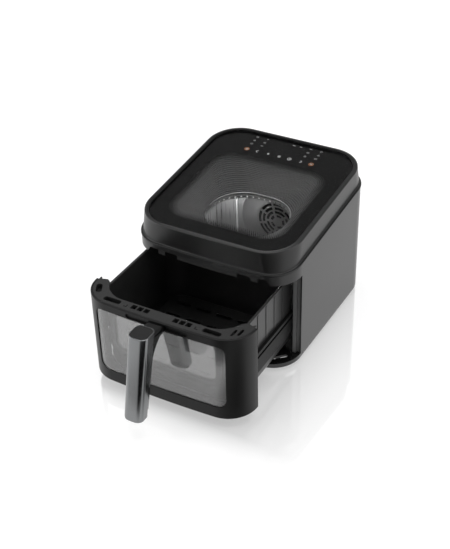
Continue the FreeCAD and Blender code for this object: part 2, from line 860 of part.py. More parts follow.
def make_band():
    low = "ear_bottom"
    high = "seam_height + 2 * corner_radius"
    body = common("band_body", upright("band_outline", plan("band_inset"), low, high),
                  slab("band_span", "seam_groove", "band_height"))
    foot = common("band_foot", upright("band_foot_outline", plan("band_foot_inset"), low, high),
                  slab("band_foot_span", "seam_groove", "seam_groove + band_foot_height"))
    step = common("band_step", upright("band_step_outline", plan("band_foot_inset + seam_step"), low, high),
                  slab("band_step_span", "0", "seam_groove"))
    hollow = common("band_hollow", upright("band_hollow_outline", plan("band_inset + band_wall"), low, high),
                    slab("band_hollow_span", "0 - cut_far", "band_height - band_deck"))
    bed = tilt(upright("glass_bed", glass_outline("seat_clearance"), "print_bottom - seat_clearance",
                       "band_height + cut_far"), "0")
    hole = tilt(upright("glass_hole", glass_outline("0 - glass_ledge"), "0", "band_height + cut_far"), "0")
    slope = math.radians(number("top_angle"))

    def on_top_rim(edge):
        points = [vertex.Point for vertex in edge.Vertexes] + [edge.CenterOfMass]
        heights = [(p.z - number("seam_height")) * math.cos(slope) - p.y * math.sin(slope) for p in points]
        return all(abs(height - number("band_height")) < NEAR for height in heights)

    rounded = soften("band_rounded", body, "band_edge", on_top_rim)
    node("top_band", cut("band_cut", fuse("band_solid", rounded, foot, step), hollow, bed, hole))


def make_glass():
    sloping_node("top_glass", upright("top_glass_plate", glass_outline("0"), "glass_bottom", "glass_top"))
    film = upright("print_film", glass_outline("0 - print_inset"), "print_bottom", "glass_bottom")
    window = upright("print_window", view_outline("0"), *past("print_bottom", "glass_bottom"))
    sloping_node("glass_print", cut("print_cut", film, window))


def make_controls():
    half = "light_box_width / 2"
    end = "light_box_front + light_box_length"
    low = "print_bottom - light_box_height"
    outline = rectangle(f"0 - {half}", half, "light_box_front", end, "light_box_radius")
    sloping_node("light_box", upright("light_box_body", outline, low, "print_bottom"))
    outline = rectangle(f"0 - ({half} + board_margin)", f"{half} + board_margin",
                        "light_box_front - board_lead", end, "board_radius")
    sloping_node("control_board", upright("control_board_plate", outline, f"{low} - board_thickness", low))


def chamber_view(grow):
    return rectangle(f"0 - (chamber_view_half + {grow})", f"chamber_view_half + {grow}",
                     f"chamber_view_front - ({grow})", f"chamber_view_end + {grow}",
                     f"chamber_view_radius + {grow}")


def make_funnel():
    outer = loft("funnel_outside", (chamber_view("funnel_wall"), "ring_top", False),
                 (view_outline("funnel_wall"), "print_bottom", True))
    inner = loft("funnel_inside", (chamber_view("0"), "ring_top", False),
                 (view_outline("0"), "print_bottom", True))
    node("window_funnel", cut("funnel_cut", outer, inner))


def make_chamber_window():
    glass = upright("chamber_pane", chamber_view("chamber_glass_lap"), "liner_top", "chamber_glass_top")
    node("chamber_window", glass)
    rim = "chamber_glass_lap + ring_rim"
    outside = upright("ring_outside", chamber_view(rim), "liner_top", "ring_top")
    seat = upright("ring_seat", chamber_view("chamber_glass_lap + seat_clearance"), "liner_top - cut_over",
                   "chamber_glass_top")
    view = upright("ring_view", chamber_view("0"), *past("liner_top", "ring_top"))
    node("window_ring", cut("ring_cut", outside, seat, view))


# Drawer opening and chamber

def make_frame():
    half = "half_width - casing_wall - seat_clearance"
    depth = ("frame_front", "frame_back")
    plate = block("frame_plate", (f"0 - ({half})", half), depth, ("base_top", "frame_top"))
    hole = block("frame_hole", ("0 - chamber_half", "chamber_half"), ("0", "frame_back + cut_far"),
                 ("base_top - cut_over", "frame_bar"))
    pillars = []
    for side, sign in SIDES:
        spans = ("chamber_half", "chamber_half + pillar_width")
        span = spans if sign > 0 else tuple(f"0 - ({edge})" for edge in reversed(spans))
        pillars.append(block(f"pillar_{side}", span, ("side_front + joint_gap", "frame_front"),
                             ("base_top", "pillar_top")))
    top = block("frame_header", ("0 - chamber_half", "chamber_half"), depth, ("frame_bar", "liner_top"))
    node("front_frame", fuse("frame_body", cut("frame_cut", plate, hole), top, *pillars))


def make_liner():
    outside = upright("liner_outside", rectangle("0 - liner_half", "liner_half", "0", "liner_back",
                      "chamber_radius + liner_sheet"), "base_top", "liner_top")
    inside = upright("liner_inside", rectangle("0 - chamber_half", "chamber_half", "0 - liner_sheet",
                     "chamber_back", "chamber_radius"), "base_top - cut_over", "chamber_roof")
    front = block("liner_front", (-BIG, BIG), ("0 - cut_far", "frame_back"), ("0", "liner_top + cut_far"))
    view = upright("liner_view", chamber_view("0"), *past("chamber_roof", "liner_top"))
    fan = axle("liner_fan_hole", "fan_hole", *past("chamber_back", "liner_back"))
    lamp = post("liner_lamp_hole", "0 - lamp_side", "lamp_y", "lamp_radius + seat_clearance",
                *past("chamber_roof", "liner_top"))
    probe = rod("liner_probe_hole", "probe_side", "probe_height", "probe_radius + seat_clearance",
                *past("chamber_back", "liner_back"))
    node("chamber_liner", cut("liner_cut", outside, inside, front, view, fan, lamp, probe))


def make_rails():
    for side, sign in SIDES:
        inner = "groove_floor + rail_end_clearance"
        foot = "chamber_half - rail_foot"
        half = "rail_foot_height / 2"
        corners = [("chamber_half", f"rail_middle - {half}"), ("chamber_half", f"rail_middle + {half}"),
                   (foot, f"rail_middle + {half}"), (foot, "rail_high"), (inner, "rail_high"),
                   (inner, "rail_low"), (foot, "rail_low"), (foot, f"rail_middle - {half}")]
        mirrored = [(f"{sign} * ({x})", z) for x, z in corners]
        node(f"rail_{side}", along_y(f"rail_body_{side}", polygon(*mirrored), "frame_back + joint_gap",
                                     "chamber_back - rail_end_gap"))


# Fan, heater and motor

def sector(inner, outer, gap, count):
    """One slot of a ring of slots: two arcs and two ends, with a spoke's width between slots."""
    def draw(sketch):
        r0, r1 = number(inner), number(outer)
        half = math.pi / count - math.radians(number(gap)) / 2
        polar_corners = ((r1, half), (r0, half), (r0, -half), (r1, -half))
        points = [(radius * math.cos(angle), radius * math.sin(angle)) for radius, angle in polar_corners]
        outside = arc(sketch, 0, 0, r1, -half, half)
        first = line(sketch, *points[0], *points[1])
        inside = arc(sketch, 0, 0, r0, -half, half)
        second = line(sketch, *points[2], *points[3])
        meetings = ((outside, 2, first, 1), (first, 2, inside, 2), (inside, 1, second, 1),
                    (second, 2, outside, 1))
        for pair in meetings:
            sketch.addConstraint(Sketcher.Constraint("Coincident", *pair))
        for edge in (outside, inside):
            sketch.addConstraint(Sketcher.Constraint("Coincident", edge, 3, -1, 1))
        for edge in (first, second):
            sketch.addConstraint(Sketcher.Constraint("PointOnObject", -1, 1, edge))
        dimension(sketch, "Radius", outside, size=outer)
        dimension(sketch, "Radius", inside, size=inner)
        sketch.addConstraint(Sketcher.Constraint("Vertical", first, 1, second, 2))
        index = sketch.addConstraint(Sketcher.Constraint("Angle", outside, 2 * half))
        sketch.setExpression(f"Constraints[{index}]", f"360 deg / {count} - {formula(gap)} * 1 deg")
    return draw


def feature(body, kind, name, draw, depth, reverse=False, offset="0", role="XZ_Plane"):
    """Add a pad or pocket of an outline to a body, and see that it changed the solid."""
    doc.recompute()
    before = body.Shape.Volume if body.Tip else 0.0
    sketch = attach(body, f"{name}_profile", role, offset)
    draw(sketch)
    step = body.newObject(kind, name)
    step.Profile = sketch
    step.Reversed = reverse
    bind(step, Length=depth)
    body.Tip = step
    doc.recompute()
    if abs(body.Shape.Volume - before) < 1e-6:
        raise RuntimeError(f"{name} left the solid as it was")
    return step, sketch


def rows_of(body, step, sketch, count, pitch):
    """Repeat a feature along its sketch's vertical."""
    pattern = body.newObject("PartDesign::LinearPattern", f"{step.Name}_rows")
    pattern.Originals = [step]
    pattern.Direction = (sketch, ["V_Axis"])
    pattern.Mode = "Spacing"
    bind(pattern, Offset=pitch, Occurrences=count)
    body.Tip = pattern


def polar(body, step, sketch, count):
    """Repeat a feature round its sketch's normal."""
    pattern = body.newObject("PartDesign::PolarPattern", f"{step.Name}_round")
    pattern.Originals = [step]
    pattern.Axis = (sketch, ["N_Axis"])
    pattern.Angle = 360
    pattern.Occurrences = count
    body.Tip = pattern


def make_guard():
    body = doc.addObject("PartDesign::Body", "guard_body")
    feature(body, "PartDesign::Pad", "guard_disc", disc("guard_radius"), "guard_sheet")
    for index in range(GUARD_RINGS):
        inner = f"guard_first_ring + {index} * guard_ring_step"
        count = GUARD_SLOTS[index]
        step, sketch = feature(body, "PartDesign::Pocket", f"guard_ring_{index}",
                               sector(inner, f"{inner} + guard_slot", "guard_spoke", count),
                               "guard_sheet", reverse=True)
        polar(body, step, sketch, count)
    bind(body, Placement__Base__z="fan_height")
    node("fan_guard", body, "housing_y + chamber_back")


def make_drum():
    low = "liner_back"
    outside = axle("drum_outside", "drum_radius", low, "drum_back")
    flange = axle("drum_flange_disc", "drum_radius + drum_flange", low, f"{low} + drum_sheet")
    inside = axle("drum_inside", "drum_radius - drum_sheet", f"{low} - cut_over", "drum_back - drum_sheet")
    hole = axle("drum_hole", "shaft_hole", "drum_back - drum_sheet - cut_over", "drum_back + cut_over")
    legs = [rod(f"drum_leg_hole_{index}", x, z, "heater_tube + heater_leg_clearance",
                "drum_back - drum_sheet - cut_over", "drum_back + cut_over")
            for index, (x, z, side) in enumerate(heater_legs())]
    node("fan_housing", cut("drum_cut", fuse("drum_solid", outside, flange), inside, hole, *legs))


def heater_legs():
    """Where the heater's two legs pass through the drum's back, as x, level and the side of the turn."""
    turns = 2 * HEATER_TURNS
    return [("heater_inner", "fan_height - heater_bend", -1),
            (f"heater_inner + {turns} * heater_step", "fan_height + heater_bend", 1)]


def tube_bend(name, radius, angle, axes, x, y, z):
    """Part of a torus: axes give the directions of its start and of its turn."""
    bend = doc.addObject("Part::Torus", name)
    start, turn = (FreeCAD.Vector(*axis) for axis in axes)
    bend.Placement.Rotation = FreeCAD.Rotation(start, turn, start.cross(turn), "ZXY")
    bend.Angle3 = angle
    bind(bend, Radius1=radius, Radius2="heater_tube")
    bind(bend, Placement__Base__x=x, Placement__Base__y=y, Placement__Base__z=z)
    return bend


def make_heater():
    """A spiral of half turns round the fan, with a quarter bend and a leg at each end."""
    pieces = []
    for index in range(2 * HEATER_TURNS):
        up = 1 if index % 2 == 0 else -1
        radius = f"heater_inner + {index} * heater_step"
        middle = f"{index % 2} * heater_step"
        pieces.append(tube_bend(f"heater_turn_{index}", radius, 180, ((1, 0, 0), (0, 0, up)),
                                middle, "heater_y", "fan_height"))
    for index, (x, level, side) in enumerate(heater_legs()):
        pieces.append(tube_bend(f"heater_bend_{index}", "heater_bend", 90, ((0, -1, 0), (0, 0, side)),
                                x, "heater_y + heater_bend", "fan_height"))
        pieces.append(rod(f"heater_leg_{index}", x, level, "heater_tube", "heater_y + heater_bend",
                          "heater_y + heater_leg"))
    node("heating_element", fuse("heater_body", *pieces))


def make_impeller(label, radius, back, blade, hub_length):
    """A sheet disc with a hub and bent-up blades, facing the chamber."""
    body = doc.addObject("PartDesign::Body", f"{label}_body")
    feature(body, "PartDesign::Pad", f"{label}_disc", disc(radius), "fan_sheet")
    feature(body, "PartDesign::Pad", f"{label}_hub", disc("fan_hub"), hub_length)
    half = "fan_sheet / 2"
    corners = (("fan_blade_root", f"0 - {half}"), (f"({radius}) - fan_blade_inset", f"0 - {half}"),
               (f"({radius}) - fan_blade_inset", half), ("fan_blade_root", half))
    step, sketch = feature(body, "PartDesign::Pad", f"{label}_blade", polygon(*corners),
                           f"fan_sheet + {blade}")
    polar(body, step, sketch, FAN_BLADES)
    feature(body, "PartDesign::Pocket", f"{label}_bore", disc("shaft_radius + press_clearance"), hub_length,
            reverse=True)
    bind(body, Placement__Base__z="fan_height")
    node(label, body, f"housing_y + {back}")


def make_shaft():
    end = "shaft_start + shaft_length"
    node("motor_shaft", axle("shaft_rod", "shaft_radius", "shaft_start", end),
         "housing_y + shaft_start")
    back = "fan_y - fan_hub_length"
    nut = doc.addObject("Part::Prism", "nut_hexagon")
    nut.Polygon = 6
    nut.Placement.Rotation = FreeCAD.Rotation(FreeCAD.Vector(1, 0, 0), -90)
    bind(nut, Circumradius="nut_corner", Height="nut_height")
    bind(nut, Placement__Base__y=f"{back} - nut_height", Placement__Base__z="fan_height")
    hole = axle("nut_hole", "shaft_radius + press_clearance", *past(f"{back} - nut_height", back))
    node("fan_nut", cut("nut_cut", nut, hole))


def make_motor():
    end = "motor_front + motor_length"
    can = axle("motor_can", "motor_radius", "motor_front", end)
    bore = axle("motor_bore", "shaft_radius + running_clearance", *past("motor_front", end))
    node("motor", cut("motor_cut", can, bore))
    plate = axle("bracket_plate", "bracket_radius", "bracket_front", "motor_front")
    hole = axle("bracket_hole_rod", "bracket_hole", *past("bracket_front", "motor_front"))
    posts = []
    for index in range(BRACKET_POSTS):
        angle = 90 + index * 360 / BRACKET_POSTS
        x, z = f"post_circle * cos({angle} deg)", f"fan_height + post_circle * sin({angle} deg)"
        posts.append(rod(f"bracket_post_{index}", x, z, "post_radius", "drum_back", "bracket_front"))
    node("motor_bracket", fuse("bracket_body", cut("bracket_ring", plate, hole), *posts))
    node("thermal_cutout", rod("cutout_can", "0 - cutout_side", "fan_height", "cutout_radius", "drum_back",
                               "drum_back + cutout_height"), "housing_y + drum_back")


# Probe, lamp, power board and the casing's back

def make_probe():
    tip = rod("probe_tip", "probe_side", "probe_height", "probe_radius", "chamber_back - probe_reach",
              "liner_back + probe_tail")
    collar = rod("probe_collar_disc", "probe_side", "probe_height", "probe_collar", "liner_back",
                 "liner_back + probe_collar_length")
    node("temperature_probe", fuse("probe_body", tip, collar))


def make_lamp():
    x = "0 - lamp_side"
    lens_low = "chamber_roof - lens_drop"
    lens_high = f"{lens_low} + lens_thickness"
    lens = post("lamp_lens_disc", x, "lamp_y", "lamp_radius", lens_low, lens_high)
    node("lamp_lens", lens, "housing_y + lamp_y")
    cup = post("lamp_cup", x, "lamp_y", "lamp_radius + lamp_wall", "liner_top", "liner_top + lamp_height")
    hollow = post("lamp_hollow", x, "lamp_y", "lamp_radius + seat_clearance", "liner_top - cut_over",
                  "liner_top + lamp_height - lamp_wall")
    node("lamp_housing", cut("lamp_cut", cup, hollow))


def make_power_board():
    right = "power_side + power_width"
    top = "power_low + power_height"
    back = "power_y + board_thickness"
    board = block("power_plate", ("power_side", right), ("power_y", back), ("power_low", top))
    parts = []
    for part in ("transformer", "relay"):
        left, low = "power_side + power_part_side", f"power_low + {part}_low"
        parts.append(block(f"power_{part}", (left, f"{left} + {part}_width"),
                           (back, f"{back} + {part}_depth"), (low, f"{low} + {part}_height")))
    capacitor = rod("power_capacitor", "power_side + capacitor_side", "power_low + capacitor_low",
                    "capacitor_radius", back, f"{back} + capacitor_depth")
    node("power_board", fuse("power_body", board, *parts, capacitor))
    posts = [rod(f"power_post_{index}", "power_post_side", z, "post_radius", "liner_back", "power_y")
             for index, z in enumerate(("power_low + power_post_inset", f"{top} - power_post_inset"))]
    node("board_posts", fuse("power_posts", *posts))


def grille_outline(shrink):
    half = "grille_width / 2"
    return rectangle(f"({shrink}) - {half}", f"{half} - ({shrink})", f"grille_low + ({shrink})",
                     f"grille_low + grille_height - ({shrink})", "grille_radius")


def make_grille():
    body = doc.addObject("PartDesign::Body", "grille_body")
    flange = "grille_flange_sheet + casing_wall"
    feature(body, "PartDesign::Pad", "grille_face", grille_outline("seat_clearance"), flange)
    feature(body, "PartDesign::Pad", "grille_flange_plate", grille_outline("0 - grille_flange"),
            "grille_flange_sheet - seat_clearance", offset="casing_wall + seat_clearance")
    first = "grille_low + (grille_height - (grille_rows - 1) * grille_pitch) / 2"
    pair = []
    for side, sign in SIDES:
        middle = f"{sign} * grille_slot_side"
        pair.append(slot(f"{middle} - grille_slot / 2", f"{middle} + grille_slot / 2", first,
                         "grille_slot_height"))
    step, sketch = feature(body, "PartDesign::Pocket", "grille_slots", together(*pair),
                           f"{flange} + cut_over", reverse=True)
    rows_of(body, step, sketch, "grille_rows", "grille_pitch")
    node("rear_grille", body, "housing_y + casing_depth")


def make_gland():
    low = "wall_inside - gland_flange_sheet"
    bush = rod("gland_bush", "gland_side", "gland_height", "gland_radius - seat_clearance / 2", low,
               "casing_depth")
    flange = rod("gland_flange_disc", "gland_side", "gland_height", "gland_radius + gland_flange", low,
                 "wall_inside - seat_clearance")
    bore = rod("gland_bore_rod", "gland_side", "gland_height", "gland_bore", *past(low, "casing_depth"))
    node("cord_gland", cut("gland_cut", fuse("gland_solid", bush, flange), bore))


# Drawer

def window_outline(grow):
    return rectangle(f"0 - (window_half + {grow})", f"window_half + {grow}", f"window_low - ({grow})",
                     f"window_high + {grow}", f"window_radius + {grow}")


def make_drawer_front():
    low, high = "drawer_bottom", "drawer_top"
    outside = upright("drawer_outside", plan("0", "drawer_front_depth"), low, high)
    inside = upright("drawer_inside", plan("drawer_wall", "drawer_front_depth + cut_far"),
                     f"{low} + drawer_wall", f"{high} + cut_over")
    ends = ({round(number(low), 1)}, {round(number(high), 1)})

    def outer_edge(edge):
        levels = {round(v.Z, 1) for v in edge.Vertexes}
        return levels in ends and edge.CenterOfMass.y < number("drawer_front_depth") - NEAR

    rounded = soften("drawer_rounded", outside, "drawer_edge", outer_edge)
    window = along_y("drawer_window", window_outline("0"), "0 - cut_far", "drawer_front_depth / 2")
    half = "handle_slot_width / 2"
    recess = along_y("handle_recess", slot(f"0 - {half}", half, "handle_slot_low + handle_slot_height / 2",
                     "handle_slot_height"), "0 - cut_far", "handle_slot_depth")
    node("drawer_front", cut("drawer_cut", rounded, inside, window, recess), "drawer_y")


def make_front_window():
    low, high = "drawer_bottom + drawer_wall", "rim_low"
    wall = ring("pane_wall", "pane_recess", "pane_recess + pane_thickness", low, high)
    shape = along_y("pane_outline", window_outline("0 - pane_gap"), "0 - cut_far", "drawer_front_depth / 2")
    node("front_window", common("front_pane", wall, shape), "drawer_y")
    seal_front = "drawer_wall + gasket_gap"
    seal_wall = ring("gasket_wall", seal_front, f"{seal_front} + gasket_depth", low, high)
    outside = along_y("gasket_outside", window_outline("gasket_lap"), "0 - cut_far", "drawer_front_depth / 2")
    inside = along_y("gasket_inside", window_outline("0 - gasket_lip"), "0 - cut_far", "drawer_front_depth")
    seal_outline = cut("gasket_outline", outside, inside)
    node("window_gasket", common("gasket_body", seal_wall, seal_outline), "drawer_y")


def make_rim():
    low, high = "rim_low", "drawer_top"
    plate = upright("rim_plate", plan("drawer_wall + seat_clearance / 2", "drawer_front_depth"), low, high)
    mouth = upright("rim_mouth", rectangle("0 - rim_opening / 2", "rim_opening / 2", "rim_front",
                    "rim_front + rim_opening", "rim_radius"), *past(low, high))
    slots = []
    pitch = "(rim_slot_split + rim_slot_divider)"
    for side, sign in SIDES:
        spans = [("rim_slot_long_at", "rim_slot_long", "rim_slot_long_radius", "long")]
        for step in (-1, 0, 1):
            spans.append((f"rim_slot_split_at + {step} * {pitch}", "rim_slot_split", "rim_slot_split_radius",
                          f"split_{step + 1}"))
        for middle, length, corner, kind in spans:
            centre = f"{sign} * ({middle})"
            outline = rectangle(f"{centre} - {length} / 2", f"{centre} + {length} / 2",
                                "rim_slot_row - rim_slot_width / 2", "rim_slot_row + rim_slot_width / 2",
                                corner)
            slots.append(upright(f"rim_{kind}_{side}", outline, *past(low, high)))
    corners = (("bean", "0 - (half_width - rim_bean_side)", "rim_bean_back"),
               ("short", "half_width - rim_short_side", "rim_short_back"),
               ("short", "half_width - rim_short_side + rim_short_step", "rim_short_back + rim_short_rise"))
    for index, (kind, x, y) in enumerate(corners):
        half = f"rim_{kind}_length / 2"
        corner = upright(f"rim_corner_{index}", slot(f"0 - {half}", half, "0", f"rim_{kind}_width"),
                         *past(low, high))
        corner.Placement.Rotation = FreeCAD.Rotation(FreeCAD.Vector(0, 0, 1), 1)
        bind(corner, Placement__Rotation__Angle=f"rim_{kind}_turn", Placement__Base__x=x,
             Placement__Base__y=y)
        slots.append(corner)
    claws = []
    start = "drawer_front_depth"
    outer = "half_width - rim_claw_side"
    inner = f"{outer} - rim_claw_width"
    tip = f"{outer} - rim_claw_tip"
    root = f"{start} - rim_claw_root"
    corners = ((outer, root), (outer, f"{start} + rim_claw_reach"), (tip, f"{start} + rim_claw_reach"),
               (f"{tip} - rim_claw_taper", f"{start} + rim_claw_notch"),
               (f"{inner} + rim_claw_hook", f"{start} + rim_claw_reach - rim_claw_root"),
               (inner, f"{start} + rim_claw_notch"), (inner, root))
    for side, sign in SIDES:
        shape = polygon(*((f"{sign} * ({x})", y) for x, y in corners))
        claws.append(upright(f"rim_claw_{side}", shape, f"{high} - rim_claw_height", high))
    cover = cut("rim_cut", plate, mouth, *slots)
    node("rim_cover", fuse("rim_body", cover, *claws), "drawer_y")


def make_magnet():
    half = "magnet_width / 2"
    magnet = block("magnet_block", (f"0 - {half}", half), ("magnet_front", "magnet_front + magnet_depth"),
                   ("rim_low - magnet_height", "rim_low"))
    node("sensor_magnet", common("magnet_piece", magnet), "drawer_y")
    half = "sensor_width / 2"
    front = "header_front + header_pad + header_web + seat_clearance"
    top = "header_low + header_height"
    sensor = block("sensor_block", (f"0 - {half}", half), (front, f"{front} + sensor_depth"),
                   (f"{top} - sensor_height", top))
    node("drawer_sensor", common("sensor_piece", sensor))


def pan_outline(grow):
    return rectangle(f"0 - (pan_half + {grow})", f"pan_half + {grow}", f"pan_front - ({grow})",
                     f"pan_end + {grow}", f"pan_radius + {grow}")


def pan_window(grow):
    half = "pan_window_width / 2"
    return rectangle(f"0 - ({half} + {grow})", f"{half} + {grow}", f"pan_window_low - ({grow})",
                     f"pan_window_high + {grow}", f"pan_window_radius + {grow}")


def make_pan():
    def lowest(level):
        return lambda edge: all(abs(v.Z - number(level)) < NEAR for v in edge.Vertexes)

    outside = upright("pan_outside", pan_outline("0"), "pan_bottom", "pan_top")
    floor = "pan_bottom + pan_sheet"
    inside = upright("pan_inside", pan_outline("0 - pan_sheet"), floor, "pan_top + cut_over")
    skin = soften("pan_skin", outside, "pan_bend", lowest("pan_bottom"))
    hollow = soften("pan_hollow", inside, "pan_bend - pan_sheet", lowest(floor))
    lip = upright("pan_lip", pan_outline("pan_flange"), "pan_top - pan_sheet", "pan_top")
    ribs = []
    for side, sign in SIDES:
        spans = ("pan_half - pan_sheet / 2", "pan_half + pan_rib_proud")
        span = spans if sign > 0 else tuple(f"0 - ({edge})" for edge in reversed(spans))
        for index in range(RIB_COUNT):
            start = f"pan_rib_first + {index} * pan_rib_step"
            ribs.append(block(f"pan_rib_{side}_{index}", span, (start, f"{start} + pan_rib_width"),
                              ("pan_rib_low", "pan_rib_high")))
    window = along_y("pan_window_hole", pan_window("0"), "pan_front - cut_far",
                     "pan_front + pan_sheet + cut_over")
    node("pan", cut("pan_cut", fuse("pan_solid", skin, lip, *ribs), hollow, window), "drawer_y")
    pane = along_y("inner_pane_plate", pan_window("inner_pane_lap"), "inner_pane_front", "inner_pane_back")
    node("inner_pane", pane, "drawer_y")
    rim = along_y("pane_frame_plate", pan_window("pane_frame_width"),
                  "pane_frame_back - pane_frame_thickness", "pane_frame_back")
    hole = along_y("pane_frame_hole", pan_window("0"), "0", "pan_front")
    node("pane_frame", cut("pane_frame_cut", rim, hole), "drawer_y")


def make_runners():
    for side, sign in SIDES:
        deep = "groove_floor"
        corners = (("pan_half", "runner_low"), ("runner_half", "runner_low"), ("runner_half", "groove_low"),
                   (deep, "groove_low"), (deep, "groove_high"), ("runner_half", "groove_high"),
                   ("runner_half", "runner_high"), ("pan_half", "runner_high"))
        mirrored = [(f"{sign} * ({x})", z) for x, z in corners]
        node(f"runner_{side}", along_y(f"runner_body_{side}", polygon(*mirrored), "runner_front",
                                       "runner_front + runner_length"), "drawer_y")


def make_crisper():
    half = "plate_half"
    body = doc.addObject("PartDesign::Body", "crisper_body")
    outline = rectangle(f"0 - {half}", half, "plate_front", "plate_end", "plate_radius")
    feature(body, "PartDesign::Pad", "crisper_sheet", outline, "plate_sheet", role="XY_Plane")
    first = "(plate_front + plate_end - (plate_rows - 1) * plate_row_pitch) / 2"
    pitch = f"(2 * plate_half - plate_slot - 2 * plate_margin) / {PLATE_COLUMNS - 1}"
    slots = []
    for column in range(PLATE_COLUMNS):
        x = f"{column - (PLATE_COLUMNS - 1) / 2} * {pitch}"
        slots.append(slot(f"{x} - plate_slot / 2", f"{x} + plate_slot / 2", first, "plate_slot_width"))
    step, sketch = feature(body, "PartDesign::Pocket", "crisper_slots", together(*slots),
                           "plate_sheet + cut_over", reverse=True, role="XY_Plane")
    rows_of(body, step, sketch, "plate_rows", "plate_row_pitch")
    bind(body, Placement__Base__z="plate_height")
    node("crisper_plate", body, "drawer_y")
    bumpers = []
    for end, y in (("front", "plate_front + bumper_inset"), ("back", "plate_end - bumper_inset")):
        for side, sign in SIDES:
            x = f"{sign} * ({half} - bumper_inset)"
            bumpers.append(post(f"bumper_{end}_{side}", x, y, "bumper_radius",
                                "pan_bottom + pan_sheet + bumper_gap", "plate_height"))
    node("plate_bumpers", fuse("bumper_group", *bumpers), "drawer_y")


# Handle

def grip_section(shrink, depth, front):
    half = f"handle_half - ({shrink})"
    return rectangle(f"0 - ({half})", half, f"({front}) + ({shrink})", f"({front}) + ({depth}) - ({shrink})",
                     f"handle_radius - ({shrink})")


def grip_loft(name, shrink):
    """The leaning grip, with a short straight foot."""
    low = grip_section(shrink, "handle_low_depth", "0 - handle_reach")
    high = grip_section(shrink, "handle_high_depth", "handle_high_front")
    return loft(name, (low, "handle_low", False), (low, "handle_lean_start", False),
                (high, "handle_high", False))


def make_spine():
    """A strip along the grip's leaning back, from near its foot up into the neck."""
    half = "spine_width / 2"
    sections = []
    for level in ("handle_low + spine_foot", "neck_foot + spine_rise"):
        back = f"handle_low_back + ({level} - handle_lean_start) * handle_lean"
        outline = rectangle(f"0 - {half}", half, f"{back} - handle_radius", f"{back} + spine_depth",
                            "spine_radius")
        sections.append((outline, level, False))
    return loft("handle_spine", *sections)


def make_handle():
    bar = grip_loft("grip_bar", "0")
    space = grip_loft("grip_space", "0 - seat_clearance")
    level = number("handle_low")

    def at_foot(edge):
        return all(abs(vertex.Z - level) < NEAR for vertex in edge.Vertexes)

    ends = soften("grip_rounded", bar, "handle_edge", at_foot)
    bed = upright("cap_bed", grip_section("cap_inset", "handle_high_depth", "handle_high_front"),
                  "handle_high - cap_depth", "handle_high + cut_over")
    node("handle_grip", cut("grip_cut", ends, bed), "drawer_y")
    outline = grip_section("cap_inset + seat_clearance", "handle_high_depth", "handle_high_front")
    cap = upright("cap_plate", outline, "handle_high - cap_depth", "handle_high - cap_drop")
    node("handle_cap", cap, "drawer_y")
    neck = fuse("neck_and_spine", make_neck(), make_spine())
    node("handle_neck", cut("neck_cut", neck, space), "drawer_y")


def make_neck():
    """The neck's side view: flat on top, hollowed below, from the recess to inside the grip."""
    root = "handle_slot_depth"
    top = "handle_slot_low + handle_slot_height - neck_slot_gap"
    inside = "0 - (handle_high_gap + handle_half)"
    corners = (("root", root, "handle_slot_low + neck_slot_gap"), ("top", root, top),
               ("crown", inside, f"{top} + neck_slope"), ("foot", inside, "neck_foot"),
               ("heel", "0 - neck_root", "handle_slot_low"))

    def draw(sketch):
        points = {name: (number(y), number(z)) for name, y, z in corners}
        names = [name for name, y, z in corners]
        foot, heel = points["foot"], points["heel"]
        radius = number("neck_curve")
        chord = math.dist(foot, heel)
        rise = math.sqrt(radius ** 2 - chord ** 2 / 4)
        along = ((heel[0] - foot[0]) / chord, (heel[1] - foot[1]) / chord)
        centre = ((foot[0] + heel[0]) / 2 + along[1] * rise, (foot[1] + heel[1]) / 2 - along[0] * rise)
        angles = [math.atan2(point[1] - centre[1], point[0] - centre[0]) for point in (heel, foot)]
        edges = [line(sketch, *points[a], *points[b]) for a, b in zip(names[:3], names[1:4])]
        curve = arc(sketch, *centre, radius, *angles)
        edges.append(line(sketch, *heel, *points["root"]))
        for first, second in ((edges[0], edges[1]), (edges[1], edges[2]), (edges[3], edges[0])):
            sketch.addConstraint(Sketcher.Constraint("Coincident", first, 2, second, 1))
        sketch.addConstraint(Sketcher.Constraint("Coincident", edges[2], 2, curve, 2))
        sketch.addConstraint(Sketcher.Constraint("Coincident", curve, 1, edges[3], 1))
        dimension(sketch, "Radius", curve, size="neck_curve")
        for edge, (name, y, z) in zip(edges, (*corners[:3], corners[4])):
            dimension(sketch, "DistanceX", -1, 1, edge, 1, size=y)
            dimension(sketch, "DistanceY", -1, 1, edge, 1, size=z)
        dimension(sketch, "DistanceX", -1, 1, edges[2], 2, size=corners[3][1])
        dimension(sketch, "DistanceY", -1, 1, edges[2], 2, size=corners[3][2])

    body = along_x("neck_body", draw, "0 - neck_width / 2", "neck_width / 2")
    side = number("neck_width / 2")
    limits = (number(inside) + NEAR, number("0 - neck_root") - NEAR)

    def long_edge(edge):
        on_side = all(abs(abs(v.X) - side) < NEAR for v in edge.Vertexes)
        return on_side and limits[0] < edge.CenterOfMass.y < limits[1]

    return soften("neck_rounded", body, "neck_edge", long_edge)


make_base()
make_feet()
make_casing()
make_header()
make_band()
make_glass()
make_controls()
make_funnel()
make_chamber_window()
make_frame()
make_liner()
make_rails()
make_guard()
make_drum()
make_heater()
make_impeller("fan_impeller", "fan_disc", "fan_y", "fan_blade", "fan_hub_length")
make_impeller("cooling_fan", "cooler_disc", "cooler_y", "cooler_blade", "cooler_hub_length")
make_shaft()
make_motor()
make_probe()
make_lamp()
make_power_board()
make_grille()
make_gland()
make_drawer_front()
make_front_window()
make_rim()
make_magnet()
make_pan()
make_runners()
make_crisper()
make_handle()

